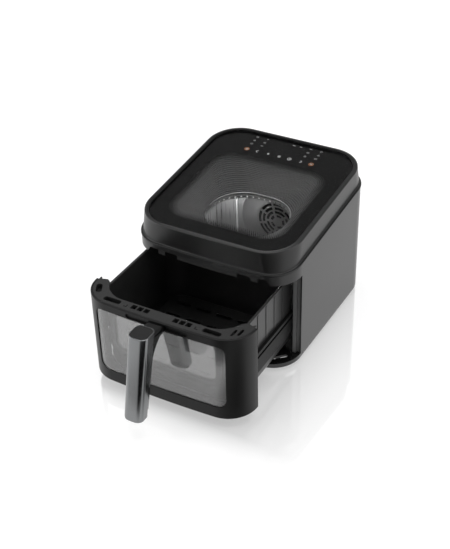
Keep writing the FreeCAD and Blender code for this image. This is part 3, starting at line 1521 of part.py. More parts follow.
doc.recompute()
failed = [thing.Name for thing in doc.Objects if {"Invalid", "Error"} & set(thing.State)]
broken = [piece.Label for piece in nodes if piece.Shape.isNull() or not piece.Shape.isValid()]
hollow = [piece.Label for piece in nodes if not piece.Shape.Solids]
if failed or broken or hollow:
    raise RuntimeError(f"not built: {failed}, bad shapes: {broken}, no solid: {hollow}")

os.makedirs("parts", exist_ok=True)
for piece in nodes:
    piece.Shape.exportStep(f"parts/{piece.Label}.step")
    box = piece.Shape.BoundBox
    print(f"{piece.Label}: {len(piece.Shape.Solids)} solid, x {box.XMin:.1f} {box.XMax:.1f}, "
          f"y {box.YMin:.1f} {box.YMax:.1f}, z {box.ZMin:.1f} {box.ZMax:.1f}")
print(f"{len(nodes)} pieces")
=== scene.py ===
# %% [markdown]
# # A black air fryer with a window drawer
#
# The housing, drawer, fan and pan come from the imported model, in metres, with the feet on z = 0 and
# the drawer opening towards -Y. This lesson gives each of them its finish, rebuilds the pieces whose
# edges and ribs are seen from near by, adds the printed details, and sets up a white studio.

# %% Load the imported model
import math

import bmesh
import bpy
from mathutils import Matrix, Vector


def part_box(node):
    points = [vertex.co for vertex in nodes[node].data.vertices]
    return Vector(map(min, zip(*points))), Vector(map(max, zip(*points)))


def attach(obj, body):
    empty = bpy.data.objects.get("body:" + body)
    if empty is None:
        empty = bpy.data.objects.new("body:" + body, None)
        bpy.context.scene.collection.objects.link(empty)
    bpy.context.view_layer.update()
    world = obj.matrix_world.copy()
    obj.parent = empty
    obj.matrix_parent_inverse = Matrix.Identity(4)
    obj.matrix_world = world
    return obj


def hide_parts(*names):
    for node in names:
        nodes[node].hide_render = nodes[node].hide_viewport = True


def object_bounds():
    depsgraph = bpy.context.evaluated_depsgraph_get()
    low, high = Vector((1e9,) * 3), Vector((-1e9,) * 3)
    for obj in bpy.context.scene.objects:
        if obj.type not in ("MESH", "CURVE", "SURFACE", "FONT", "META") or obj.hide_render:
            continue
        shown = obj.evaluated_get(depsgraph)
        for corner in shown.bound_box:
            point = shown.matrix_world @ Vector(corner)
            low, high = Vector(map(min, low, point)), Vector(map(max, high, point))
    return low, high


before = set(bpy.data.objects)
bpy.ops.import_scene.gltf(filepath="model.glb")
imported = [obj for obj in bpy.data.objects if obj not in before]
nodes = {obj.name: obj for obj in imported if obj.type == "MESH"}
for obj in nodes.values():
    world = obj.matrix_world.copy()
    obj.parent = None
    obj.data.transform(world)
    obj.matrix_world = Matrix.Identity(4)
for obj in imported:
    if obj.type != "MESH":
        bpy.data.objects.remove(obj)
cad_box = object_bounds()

print(f"loaded {len(nodes)} pieces, box {[round(v, 3) for v in (*cad_box[0], *cad_box[1])]}")

# %% [markdown]
# ## Places that the details hang on
#
# Details follow the pieces they sit on, so their places are measured on the model instead of being
# typed in twice. The sloping top is the one awkward surface. It is easiest to draw it flat, in
# millimetres across and along, and to let one function put each point on the slope.

# %% Measure the model
MM = 0.001
SEAM_HEIGHT = 193.0 * MM

casing_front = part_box("outer_casing")[0].y
drawer_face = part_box("drawer_front")[0].y
drawer_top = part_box("drawer_front")[1].z

glass_faces = [face for face in nodes["top_glass"].data.polygons if face.normal.z > 0.5]
glass_face = max(glass_faces, key=lambda face: face.area)
glass_normal = glass_face.normal.copy()
glass_along = glass_normal.cross(Vector((1.0, 0.0, 0.0)))
seam_point = Vector((0.0, casing_front, SEAM_HEIGHT))
glass_corner = nodes["top_glass"].data.vertices[glass_face.vertices[0]].co
glass_top = (glass_corner - seam_point).dot(glass_normal) / MM


def on_slope(x, along, rise):
    """A point of the sloping top, from millimetres across, along the slope and above the seam."""
    return seam_point + MM * (Vector((x, 0.0, 0.0)) + along * glass_along + rise * glass_normal)


def on_housing(x, back, height):
    """A point given in millimetres from the casing's front."""
    return Vector((x * MM, casing_front + back * MM, height * MM))


def on_drawer(x, back, height):
    """A point given in millimetres from the drawer's face."""
    return Vector((x * MM, drawer_face + back * MM, height * MM))


top_tilt = math.degrees(math.atan2(-glass_normal.y, glass_normal.z))
print(f"top tilts {top_tilt:.2f} degrees, glass {glass_top:.1f} mm above the seam")

# %% [markdown]
# ## Camera
#
# The photograph looks down from the front right with a medium-long lens, and is turned very slightly.
# A camera is aimed by turning its -Z axis onto the target, and the small turn is added about that axis.

# %% Camera
CAMERA_PLACE = Vector((0.7650, -1.3100, 1.1966))
CAMERA_AIM = Vector((0.0027, 0.0135, 0.1312))
CAMERA_LENS = 72.37
CAMERA_ROLL = math.radians(-1.628)

camera_data = bpy.data.cameras.new("studio_camera")
camera_data.lens = CAMERA_LENS
camera = bpy.data.objects.new("studio_camera", camera_data)
bpy.context.scene.collection.objects.link(camera)
aim = (CAMERA_AIM - CAMERA_PLACE).to_track_quat("-Z", "Y").to_matrix() @ Matrix.Rotation(CAMERA_ROLL, 3, "Z")
camera.matrix_world = Matrix.Translation(CAMERA_PLACE) @ aim.to_4x4()
bpy.context.scene.camera = camera
print(f"camera {(CAMERA_AIM - CAMERA_PLACE).length:.3f} m from its target")

# %% [markdown]
# ## Building materials in code
#
# A material is a small graph of nodes. Two helpers keep the graphs readable: one makes a material
# with its Principled shader, the other adds a node, sets its sockets and links them.

# %% Node helpers

def add_node(tree, kind, settings=None, **sockets):
    """Add a node, set its properties, and set or link its input sockets by name."""
    node = tree.nodes.new(kind)
    for name, value in (settings or {}).items():
        setattr(node, name, value)
    for name, value in sockets.items():
        by_number = name[0] == "i" and name[1:].isdigit()
        socket = node.inputs[int(name[1:]) if by_number else name.replace("_", " ")]
        if isinstance(value, bpy.types.NodeSocket):
            tree.links.new(value, socket)
        else:
            socket.default_value = value
    return node


def math_node(tree, operation, first, second=0.0):
    """A Math node's result."""
    return add_node(tree, "ShaderNodeMath", {"operation": operation}, i0=first, i1=second).outputs[0]


def new_material(name, **shader):
    """A material with a Principled shader whose named sockets are set."""
    material = bpy.data.materials.new(name)
    material.use_nodes = True
    tree = material.node_tree
    bsdf = tree.nodes["Principled BSDF"]
    for socket, value in shader.items():
        bsdf.inputs[socket.replace("_", " ")].default_value = value
    return material, tree, bsdf


def grey(value, warmth=0.0):
    """A nearly neutral colour; a little warmth tints it towards red, a negative value towards blue."""
    return (value * (1 + warmth), value, value * (1 - warmth), 1.0)


def new_group(name, inputs, outputs):
    """An empty shader node group with float inputs, each with a default, and typed outputs."""
    group = bpy.data.node_groups.new(name, "ShaderNodeTree")
    for socket, value in inputs.items():
        entry_socket = group.interface.new_socket(socket, in_out="INPUT", socket_type="NodeSocketFloat")
        entry_socket.default_value = value
    for socket, kind in outputs.items():
        group.interface.new_socket(socket, in_out="OUTPUT", socket_type=kind)
    return group, group.nodes.new("NodeGroupInput"), group.nodes.new("NodeGroupOutput")


def use_group(tree, group, **sockets):
    """A node that runs a group, with its inputs set."""
    node = tree.nodes.new("ShaderNodeGroup")
    node.node_tree = group
    for name, value in sockets.items():
        node.inputs[name.replace("_", " ")].default_value = value
    return node


def finish_nodes(material, names):
    """Give a material to model pieces, in place of the one they came with."""
    for name in names:
        slots = nodes[name].data.materials
        slots.clear()
        slots.append(material)
    print(f"{material.name}: {', '.join(names)}")


# %% [markdown]
# ## Moulded grain
#
# Nearly every black part is moulded plastic or painted sheet with a fine spark-eroded grain. One
# shared group makes it: a very fine noise for the grain itself, and a slow noise that makes the
# sheen uneven, as handling and moulding flow do. Each finish sets its own depth and roughness. A
# Bevel node rounds the shading of each edge a little, because no moulded edge is perfectly sharp.

# %% The grain group
grain, grain_in, grain_out = new_group(
    "moulded_grain",
    {"Grain Size": 1500.0, "Flow Size": 9.0, "Roughness": 0.4, "Uneven": 0.08, "Dark": 0.016, "Light": 0.022},
    {"Color": "NodeSocketColor", "Roughness": "NodeSocketFloat", "Height": "NodeSocketFloat"})
grain_place = add_node(grain, "ShaderNodeTexCoord").outputs["Object"]
fine = add_node(grain, "ShaderNodeTexNoise", Vector=grain_place, Scale=grain_in.outputs["Grain Size"],
                Detail=2.0, Roughness=0.55)
slow = add_node(grain, "ShaderNodeTexNoise", Vector=grain_place, Scale=grain_in.outputs["Flow Size"],
                Detail=4.0, Roughness=0.6)
shade = add_node(grain, "ShaderNodeMapRange", Value=slow.outputs["Fac"], i1=0.3, i2=0.7,
                 i3=grain_in.outputs["Dark"], i4=grain_in.outputs["Light"]).outputs["Result"]
tone = add_node(grain, "ShaderNodeCombineColor", Red=shade, Green=shade, Blue=shade)
swing = math_node(grain, "MULTIPLY", math_node(grain, "SUBTRACT", slow.outputs["Fac"], 0.5),
                  grain_in.outputs["Uneven"])
rough = math_node(grain, "ADD", swing, grain_in.outputs["Roughness"])
grain.links.new(tone.outputs["Color"], grain_out.inputs["Color"])
grain.links.new(rough, grain_out.inputs["Roughness"])
grain.links.new(fine.outputs["Fac"], grain_out.inputs["Height"])

GRAIN_STRENGTH = 0.35
EDGE_ROUND = 0.7 * MM


def grained(name, dark, light, roughness, depth, specular=0.5, size=1500.0, uneven=0.1, **shader):
    """A moulded or painted finish built on the grain group."""
    material, tree, bsdf = new_material(name, Specular_IOR_Level=specular, **shader)
    source = use_group(tree, grain, Grain_Size=size, Roughness=roughness, Uneven=uneven, Dark=dark, Light=light)
    edge = add_node(tree, "ShaderNodeBevel", {"samples": 4}, Radius=EDGE_ROUND)
    bump = add_node(tree, "ShaderNodeBump", Strength=GRAIN_STRENGTH, Distance=depth,
                    Height=source.outputs["Height"], Normal=edge.outputs["Normal"])
    tree.links.new(source.outputs["Color"], bsdf.inputs["Base Color"])
    tree.links.new(source.outputs["Roughness"], bsdf.inputs["Roughness"])
    tree.links.new(bump.outputs["Normal"], bsdf.inputs["Normal"])
    return material


# %% [markdown]
# ## Black plastics and paint
#
# The drawer front is a dull satin plastic, the top band and the casing are smoother and catch the
# studio in a broad sheen, and the base is polished. They differ in gloss more than in colour.

# %% Black finishes
drawer_black = grained("satin_drawer_plastic", 0.006, 0.009, 0.36, 0.00003, specular=0.24)
rim_black = grained("satin_rim_plastic", 0.017, 0.023, 0.42, 0.00003, specular=0.35)
band_black = grained("smooth_band_plastic", 0.009, 0.012, 0.32, 0.00001, specular=0.5, uneven=0.05)
casing_black = grained("smooth_casing_paint", 0.018, 0.024, 0.30, 0.00002, specular=0.48, size=700.0)
base_black = grained("polished_base_plastic", 0.006, 0.009, 0.09, 0.00001, specular=0.6, uneven=0.05)
neck_black = grained("polished_neck_plastic", 0.004, 0.006, 0.16, 0.00001, specular=0.28, uneven=0.05)
inner_black = grained("matt_inner_plastic", 0.030, 0.038, 0.45, 0.00004, specular=0.4)
# The frame round the opening is light grey, far lighter than the black parts, so that it reads lit in the shade behind
# the casing's front: painted light.
frame_painted_light = grained("opening_frame_painted_light", 0.22, 0.27, 0.42, 0.00004, specular=0.4)
runner_black = grained("matt_runner_plastic", 0.006, 0.009, 0.50, 0.00003, specular=0.18)
rubber_black = grained("foot_rubber", 0.010, 0.016, 0.75, 0.00006, specular=0.25, size=900.0)
finish_nodes(drawer_black, ["drawer_front"])
finish_nodes(rim_black, ["rim_cover"])
finish_nodes(runner_black, ["runner_left", "runner_right"])
finish_nodes(casing_black, ["outer_casing", "rear_grille"])
finish_nodes(base_black, ["base_tray"])
finish_nodes(neck_black, ["handle_neck"])
finish_nodes(frame_painted_light, ["front_frame"])
finish_nodes(inner_black, ["front_header", "cord_gland", "drawer_sensor", "board_posts"])
finish_nodes(rubber_black, ["foot_front_left", "foot_front_right", "foot_back_left", "foot_back_right",
                            "window_gasket", "plate_bumpers"])

# %% [markdown]
# ## Metal finishes
#
# Steel sheet is brushed in one direction. Stretching a noise along that direction gives the fine
# lines, which vary the roughness and lean the normal a little. The handle grip has the same effect
# along its length, under a dark tint, and the pan has a dark coating with faint flecks.

# %% The brushed group
brushed, brushed_in, brushed_out = new_group(
    "brushed_lines", {"Across": 900.0, "Along": 12.0, "Roughness": 0.3, "Uneven": 0.2},
    {"Lines": "NodeSocketFloat", "Roughness": "NodeSocketFloat"})
brushed_place = add_node(brushed, "ShaderNodeTexCoord").outputs["Object"]
brushed_scale = add_node(brushed, "ShaderNodeCombineXYZ", X=brushed_in.outputs["Across"],
                         Y=brushed_in.outputs["Across"], Z=brushed_in.outputs["Along"])
brushed_stretch = add_node(brushed, "ShaderNodeVectorMath", {"operation": "MULTIPLY"}, i0=brushed_place,
                           i1=brushed_scale.outputs["Vector"])
brushed_noise = add_node(brushed, "ShaderNodeTexNoise", Vector=brushed_stretch.outputs["Vector"], Scale=1.0,
                         Detail=3.0, Roughness=0.6).outputs["Fac"]
brushed_swing = math_node(brushed, "MULTIPLY", math_node(brushed, "SUBTRACT", brushed_noise, 0.5),
                          brushed_in.outputs["Uneven"])
brushed_rough = math_node(brushed, "ADD", brushed_swing, brushed_in.outputs["Roughness"])
brushed.links.new(brushed_noise, brushed_out.inputs["Lines"])
brushed.links.new(brushed_rough, brushed_out.inputs["Roughness"])

LINE_STRENGTH = 0.3


def brushed_metal(name, dark, light, roughness, depth=0.00002, across=900.0, along=12.0, metallic=1.0):
    """A metal with fine lines along z."""
    material, tree, bsdf = new_material(name, Metallic=metallic)
    lines = use_group(tree, brushed, Across=across, Along=along, Roughness=roughness)
    ramp = add_node(tree, "ShaderNodeMix", {"data_type": "RGBA"}, Factor=lines.outputs["Lines"])
    ramp.inputs[6].default_value = dark
    ramp.inputs[7].default_value = light
    edge = add_node(tree, "ShaderNodeBevel", {"samples": 4}, Radius=EDGE_ROUND)
    bump = add_node(tree, "ShaderNodeBump", Strength=LINE_STRENGTH, Distance=depth,
                    Height=lines.outputs["Lines"], Normal=edge.outputs["Normal"])
    tree.links.new(ramp.outputs[2], bsdf.inputs["Base Color"])
    tree.links.new(lines.outputs["Roughness"], bsdf.inputs["Roughness"])
    tree.links.new(bump.outputs["Normal"], bsdf.inputs["Normal"])
    return material


# %% Metal finishes
liner_steel = brushed_metal("brushed_chamber_steel", grey(0.46), grey(0.60), 0.30, across=400.0, metallic=0.7)
dark_steel = brushed_metal("dull_inner_steel", grey(0.22), grey(0.32), 0.38)
grip_metal = brushed_metal("smoked_grip_metal", grey(0.21, -0.02), grey(0.26, -0.02), 0.18, along=6.0)
finish_nodes(liner_steel, ["chamber_liner", "rail_left", "rail_right"])
finish_nodes(dark_steel, ["motor", "motor_bracket", "motor_shaft", "fan_nut", "cooling_fan", "thermal_cutout",
                          "temperature_probe", "lamp_housing", "sensor_magnet"])
smoked_steel = brushed_metal("smoked_fan_steel", grey(0.07), grey(0.12), 0.45)
finish_nodes(smoked_steel, ["fan_housing", "fan_impeller", "heating_element"])

guard_steel = brushed_metal("guard_steel", grey(0.40), grey(0.52), 0.34, across=400.0, metallic=0.7)
finish_nodes(guard_steel, ["window_ring"])
# Near white, a painted highlight for the ribs on the back wall.
rib_painted_highlight = brushed_metal("rib_painted_highlight_steel", grey(0.80), grey(0.90), 0.50, metallic=0.2)
coating = grained("pan_coating", 0.018, 0.026, 0.32, 0.00004, specular=0.45, size=1100.0, uneven=0.15)
finish_nodes(coating, ["pan", "crisper_plate"])
frame_coating = grained("pane_frame_coating", 0.004, 0.007, 0.45, 0.00004, specular=0.3)
finish_nodes(frame_coating, ["pane_frame"])
cap_black = grained("handle_cap_plastic", 0.006, 0.009, 0.30, 0.00002, specular=0.35)

# %% [markdown]
# ## Glass
#
# Clear glass reflects a little and lets light into the drawer and chamber. Light that only has to
# cross a pane is let straight through by a Transparent shader, chosen by Light Path, so that what is
# behind the glass is lit without a long simulation of refraction. The drawer's window is dense glass
# with a bright surface, so that it mirrors the floor and the handle.

# %% Glass finishes

def pane_glass(name, tint, ior=1.5, smudged=0.004):
    """A pane whose gloss is broken by very faint smudges."""
    material, tree, bsdf = new_material(name, Base_Color=tint, IOR=ior, Transmission_Weight=1.0)
    through = add_node(tree, "ShaderNodeBsdfTransparent", Color=tint)
    path = add_node(tree, "ShaderNodeLightPath")
    crossing = math_node(tree, "MAXIMUM", path.outputs["Is Shadow Ray"], path.outputs["Is Diffuse Ray"])
    mix = add_node(tree, "ShaderNodeMixShader", i0=crossing, i1=bsdf.outputs[0], i2=through.outputs[0])
    smudge = add_node(tree, "ShaderNodeTexNoise", Scale=14.0, Detail=3.0)
    spread = add_node(tree, "ShaderNodeMapRange", Value=smudge.outputs["Fac"], i1=0.35, i2=0.75, i3=0.0,
                      i4=smudged)
    tree.links.new(spread.outputs["Result"], bsdf.inputs["Roughness"])
    tree.links.new(mix.outputs[0], tree.nodes["Material Output"].inputs["Surface"])
    return material


top_glass = pane_glass("top_glass", grey(0.94), ior=1.02)
clear_glass = pane_glass("clear_pane", grey(0.92), ior=1.2)
window_glass = pane_glass("window_pane", grey(0.88), ior=1.88)
inner_glass = pane_glass("inner_pane", grey(0.90), ior=1.88)
finish_nodes(clear_glass, ["chamber_window", "lamp_lens"])
finish_nodes(window_glass, ["front_window"])
finish_nodes(inner_glass, ["inner_pane"])

ink_black = grained("glass_ink", 0.002, 0.004, 0.16, 0.000002, specular=0.22, uneven=0.04)
diffuser = grained("white_diffuser", 0.70, 0.78, 0.6, 0.00003)
finish_nodes(diffuser, ["light_box"])
board_green = grained("circuit_board", 0.02, 0.05, 0.5, 0.00003)
finish_nodes(board_green, ["control_board", "power_board"])

# %% [markdown]
# ## Building pieces from rings
#
# Most of the rebuilt pieces are a stack of closed outlines with faces between them: a plate, a funnel
# and a grip all come from the same two steps. First an outline is drawn as points that go round, then
# each ring of points is skinned to the next. Edges that turn sharply are marked, so that flat faces
# stay flat and rounded ones look smooth.

# %% Mesh helpers

def rounded(half, front, back, radius, steps, face_steps=1):
    """A rounded rectangle, symmetric across, as points that go round; its front face may be divided."""
    inner = half - radius
    corners = ((inner, front + radius, -90), (inner, back - radius, 0),
               (-inner, back - radius, 90), (-inner, front + radius, 180))
    points = []
    for x, y, start in corners:
        for step in range(steps + 1):
            turn = math.radians(start + 90 * step / steps)
            points.append((x + radius * math.cos(turn), y + radius * math.sin(turn)))
    points += [(inner * (2 * step / face_steps - 1), front) for step in range(1, face_steps)]
    return points


def skin(build, rings, closed=False):
    """Faces from each ring of points to the next; closed goes on from the last ring to the first."""
    rows = [[build.verts.new(point) for point in ring] for ring in rings]
    pairs = list(zip(rows, rows[1:])) + ([(rows[-1], rows[0])] if closed else [])
    for low, high in pairs:
        for index in range(len(low)):
            after = (index + 1) % len(low)
            build.faces.new((low[index], low[after], high[after], high[index]))
    return rows


def solid(build, rings):
    """A closed body: rings skinned to each other, with a flat face at each end."""
    rows = skin(build, rings)
    build.faces.new(reversed(rows[0]))
    build.faces.new(rows[-1])


def make_piece(name, build, material, body, sharp=30.0, flat_ends=True):
    """Turn a finished bmesh into a piece of the object."""
    bmesh.ops.recalc_face_normals(build, faces=build.faces[:])
    limit = math.radians(sharp)
    for edge in build.edges:
        many_sided = flat_ends and any(len(face.verts) > 4 for face in edge.link_faces)
        edge.smooth = not many_sided and edge.calc_face_angle(math.pi) < limit
    for face in build.faces:
        face.smooth = True
    mesh = bpy.data.meshes.new(name)
    build.to_mesh(mesh)
    build.free()
    mesh.materials.append(material)
    piece = bpy.data.objects.new(name, mesh)
    bpy.context.scene.collection.objects.link(piece)
    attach(piece, body)
    print(f"{name}: {len(mesh.polygons)} faces on {body}")
    return piece


QUARTER_STEPS = 4


def bevelled(outline, place, low, high, bevel):
    """The rings of a plate with a rounded upper edge; outline takes an inset, place makes points."""
    levels = [(0.0, low), (0.0, high - bevel)]
    for step in range(1, QUARTER_STEPS + 1):
        turn = math.radians(90 * step / QUARTER_STEPS)
        levels.append((bevel * (1 - math.cos(turn)), high - bevel * (1 - math.sin(turn))))
    return [[place(x, y, level) for x, y in outline(inset)] for inset, level in levels]


# %% [markdown]
# ## Top glass
#
# The glass is a flat plate with a ground edge. On the model its edge is sharp, and a sharp edge of
# glass never shows the thin pale line that gives a real pane away. A clear plate and a sloping,
# frosted ring round it take its place. The plate is coated against glare, so its index is close to
# that of air, and the sheen comes from the print below.

# %% Top glass
CORNER_STEPS = 14
GLASS_HALF = 137.6
GLASS_FRONT = 12.4
GLASS_BACK = 325.6
GLASS_RADIUS = 54.0
GLASS_THICKNESS = 3.9
EDGE_WIDTH = 2.2
EDGE_DROP = 0.8


def glass_outline(inset):
    return rounded(GLASS_HALF - inset, GLASS_FRONT + inset, GLASS_BACK - inset, GLASS_RADIUS - inset,
                   CORNER_STEPS)


def slope_ring(outline, level):
    return [on_slope(x, y, level) for x, y in outline]


glass_bottom = glass_top - GLASS_THICKNESS
build = bmesh.new()
solid(build, [slope_ring(glass_outline(EDGE_WIDTH), level) for level in (glass_bottom, glass_top)])
glass_plate = make_piece("top_glass_plate", build, top_glass, "housing")
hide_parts("top_glass")

frosted = grained("frosted_glass_edge", 0.010, 0.014, 0.30, 0.00001, specular=0.5)
build = bmesh.new()
skin(build, [slope_ring(glass_outline(inset), level) for inset, level in (
    (0.0, glass_bottom), (0.0, glass_top - EDGE_DROP), (EDGE_WIDTH, glass_top), (EDGE_WIDTH, glass_bottom))],
    closed=True)
make_piece("ground_edge", build, frosted, "housing")

# %% [markdown]
# ## Top band
#
# The band frames the glass. Its broad walls show every fault in the shading, and the long thin
# triangles of the model give streaks. Rings that all have the same number of points avoid them: each
# ring is the casing's bowed outline, set in by some distance, at some height above the sloping seam.
# The rings start at the step in the seam and go up over the foot, a hollow curve, the wall and the
# rounded edge, then down into the bed of the glass and back inside.

# %% Band outline
CASING_HALF = 147.0
CASING_DEPTH = 330.0
CASING_RADIUS = 52.0
BAND_CORNER = 63.0
BOW_RADIUS = 1850.0
BOW_STEPS = 24
slope_angle = math.radians(top_tilt)


def plan_outline(inset, corner=CASING_RADIUS):
    """The casing's outline seen from above, set in; its front is bowed."""
    half, radius, bow = CASING_HALF - inset, corner - inset, BOW_RADIUS - inset
    corner_x = half - radius
    corner_y = BOW_RADIUS - math.sqrt((bow - radius) ** 2 - corner_x ** 2)
    turn = math.atan2(corner_y - BOW_RADIUS, corner_x)
    back = CASING_DEPTH - inset - radius
    corners = ((corner_x, corner_y, turn, 0.0), (corner_x, back, 0.0, math.pi / 2),
               (-corner_x, back, math.pi / 2, math.pi), (-corner_x, corner_y, math.pi, math.pi - turn))
    points = []
    for x, y, start, end in corners:
        for step in range(CORNER_STEPS + 1):
            angle = start + (end - start) * step / CORNER_STEPS
            points.append((x + radius * math.cos(angle), y + radius * math.sin(angle)))
    for step in range(1, BOW_STEPS):
        angle = math.pi - turn + (math.pi + 2 * turn) * step / BOW_STEPS
        points.append((bow * math.cos(angle), BOW_RADIUS + bow * math.sin(angle)))
    return points


def band_ring(inset, rise, corner=BAND_CORNER):
    """The outline at a height above the sloping seam."""
    tilt = math.sin(slope_angle)
    return [on_housing(x, y, SEAM_HEIGHT / MM + (rise + y * tilt) / math.cos(slope_angle))
            for x, y in plan_outline(inset, corner)]


def bed_ring(grow, rise):
    """The outline of the glass's bed, with as many points as the band's."""
    return [on_slope(x, y, rise) for x, y in rounded(
        GLASS_HALF + grow, GLASS_FRONT - grow, GLASS_BACK + grow, GLASS_RADIUS + grow, CORNER_STEPS, BOW_STEPS)]


# %% Band
BAND_INSET = 3.3
BAND_TOP = glass_top + 0.2
BAND_EDGE = 2.0
BAND_WALL = 3.0
WALL_STEPS = 8
BAND_DECK = 8.0
FOOT_INSET = -1.0
FOOT_RISE = (1.5, 3.5)
FOOT_EDGE = 0.9
COVE = 1.8
STEP_INSET = 3.5
EDGE_SUPPORT = 0.4
BED_GAP = 0.2
BED_DEPTH = 5.5
LEDGE = 8.0

quarter = [math.radians(90 * step / (2 * QUARTER_STEPS)) for step in range(2 * QUARTER_STEPS + 1)]
foot_levels = [(STEP_INSET, 0.0), (STEP_INSET, FOOT_RISE[0]), (FOOT_INSET, FOOT_RISE[0])]
for turn in quarter:
    foot_levels.append((FOOT_INSET + FOOT_EDGE * (1 - math.cos(turn)), FOOT_RISE[1] - FOOT_EDGE * (1 - math.sin(turn))))
band_rings = [band_ring(inset, rise, CASING_RADIUS) for inset, rise in foot_levels]
for turn in quarter:
    band_rings.append(band_ring(BAND_INSET - COVE * (1 - math.sin(turn)), FOOT_RISE[1] + COVE * (1 - math.cos(turn)),
                                CASING_RADIUS))
wall_low, wall_high = FOOT_RISE[1] + COVE + EDGE_SUPPORT, BAND_TOP - BAND_EDGE - EDGE_SUPPORT
for step in range(WALL_STEPS + 1):
    part = step / WALL_STEPS
    band_rings.append(band_ring(BAND_INSET, wall_low + part * (wall_high - wall_low),
                                CASING_RADIUS + part * (BAND_CORNER - CASING_RADIUS)))
for turn in quarter:
    band_rings.append(band_ring(BAND_INSET + BAND_EDGE * (1 - math.cos(turn)),
                                BAND_TOP - BAND_EDGE * (1 - math.sin(turn))))
band_rings += [band_ring(BAND_INSET + BAND_EDGE + EDGE_SUPPORT, BAND_TOP),
               bed_ring(BED_GAP, BAND_TOP), bed_ring(BED_GAP, BAND_TOP - BED_DEPTH),
               bed_ring(-LEDGE, BAND_TOP - BED_DEPTH), bed_ring(-LEDGE, BAND_TOP - BAND_DECK),
               band_ring(BAND_INSET + BAND_WALL, BAND_TOP - BAND_DECK), band_ring(BAND_INSET + BAND_WALL, 0.0, CASING_RADIUS)]
build = bmesh.new()
skin(build, band_rings, closed=True)
band = make_piece("band_shell", build, band_black, "housing")
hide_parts("top_band")

# %% [markdown]
# ## Print under the glass
#
# A black film covers the glass from below, but for the window in its middle. The film ends in rows of
# dots that get smaller inwards, so that the edge of the view is soft. Each row follows the edge at its
# own distance, and every other row is shifted by half a step. Film and dots lie a hair's breadth
# under the glass, because two faces in one place would flicker.

# %% Film
VIEW_HALF = 110.5
VIEW_FRONT = 46.5
VIEW_BACK = 254.5
VIEW_RADIUS = 38.0
FILM_INSET = 1.0
FILM_TOP = glass_bottom - 0.1
FILM_THICK = 0.8


def view_outline(inset):
    return rounded(VIEW_HALF - inset, VIEW_FRONT + inset, VIEW_BACK - inset, VIEW_RADIUS - inset, CORNER_STEPS)


film_low = FILM_TOP - FILM_THICK
build = bmesh.new()
skin(build, [slope_ring(glass_outline(FILM_INSET), film_low), slope_ring(glass_outline(FILM_INSET), FILM_TOP),
             slope_ring(view_outline(0.0), FILM_TOP), slope_ring(view_outline(0.0), film_low)], closed=True)
film = make_piece("print_film", build, ink_black, "housing")
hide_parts("glass_print")

# %% Dots
DOT_PITCH = 3.5
DOT_ROWS = ((1.2, 1.62), (4.2, 1.50), (7.2, 1.30), (10.2, 1.05), (13.2, 0.75))
DOT_SIDES = 8
DOT_TOP = glass_bottom - 0.05
DOT_DEPTH = 0.2


def walk(outline, pitch, shift=0.0):
    """Points at an even step along a closed outline, with the direction there."""
    ends = outline[1:] + outline[:1]
    lengths = [math.dist(a, b) for a, b in zip(outline, ends)]
    count = round(sum(lengths) / pitch)
    step = sum(lengths) / count
    places = []
    travelled = 0.0
    target = shift * step
    for a, b, length in zip(outline, ends, lengths):
        while len(places) < count and target <= travelled + length and length > 0:
            part = (target - travelled) / length
            direction = ((b[0] - a[0]) / length, (b[1] - a[1]) / length)
            places.append(((a[0] + part * (b[0] - a[0]), a[1] + part * (b[1] - a[1])), direction))
            target += step
        travelled += length
    return places


def disc_ring(x, y, radius, level):
    turns = [2 * math.pi * side / DOT_SIDES for side in range(DOT_SIDES)]
    return [on_slope(x + radius * math.cos(turn), y + radius * math.sin(turn), level) for turn in turns]


build = bmesh.new()
dot_count = 0
for row, (inset, radius) in enumerate(DOT_ROWS):
    for (x, y), direction in walk(view_outline(inset), DOT_PITCH, 0.5 * (row % 2)):
        solid(build, [disc_ring(x, y, radius, level) for level in (DOT_TOP - DOT_DEPTH, DOT_TOP)])
        dot_count += 1
make_piece("print_dots", build, ink_black, "housing")
print(f"{dot_count} dots")

# %% [markdown]
# ## Touch marks
#
# The controls are plain marks printed on the glass. Each is drawn as one or more strokes in a small
# square of its own, and a stroke becomes a thin ribbon with square ends. The bright row, the pale
# columns and the amber rings are three pieces, because they are three inks.

# %% Strokes
STROKE_WIDTH = 0.75
RING_STROKE = 0.6
STROKE_THICK = 0.06
STROKE_LIFT = 0.02


def ribbon(build, points, place, width, low, high, closed=False):
    """A flat strip of even width along points, as a thin solid."""
    count = len(points)
    sides = []
    for index, point in enumerate(points):
        before = points[index - 1] if closed or index > 0 else None
        after = points[(index + 1) % count] if closed or index < count - 1 else None
        into = Vector(point) - Vector(before) if before else Vector(after) - Vector(point)
        away = Vector(after) - Vector(point) if after else into
        into, away = into.normalized(), away.normalized()
        middle = (into + away).normalized()
        reach = width / 2 / max(0.4, middle.dot(into))
        normal = Vector((-middle.y, middle.x)) * reach
        sides.append((Vector(point) + normal, Vector(point) - normal))
    rings = []
    for left, right in sides:
        corners = ((left, low), (right, low), (right, high), (left, high))
        rings.append([place(side.x, side.y, level) for side, level in corners])
    if closed:
        skin(build, rings, closed=True)
    else:
        solid(build, rings)


def circle(radius, steps=20, start=0.0, turn=360.0):
    return [(radius * math.cos(math.radians(start + turn * step / steps)),
             radius * math.sin(math.radians(start + turn * step / steps)))
            for step in range(steps if turn == 360.0 else steps + 1)]


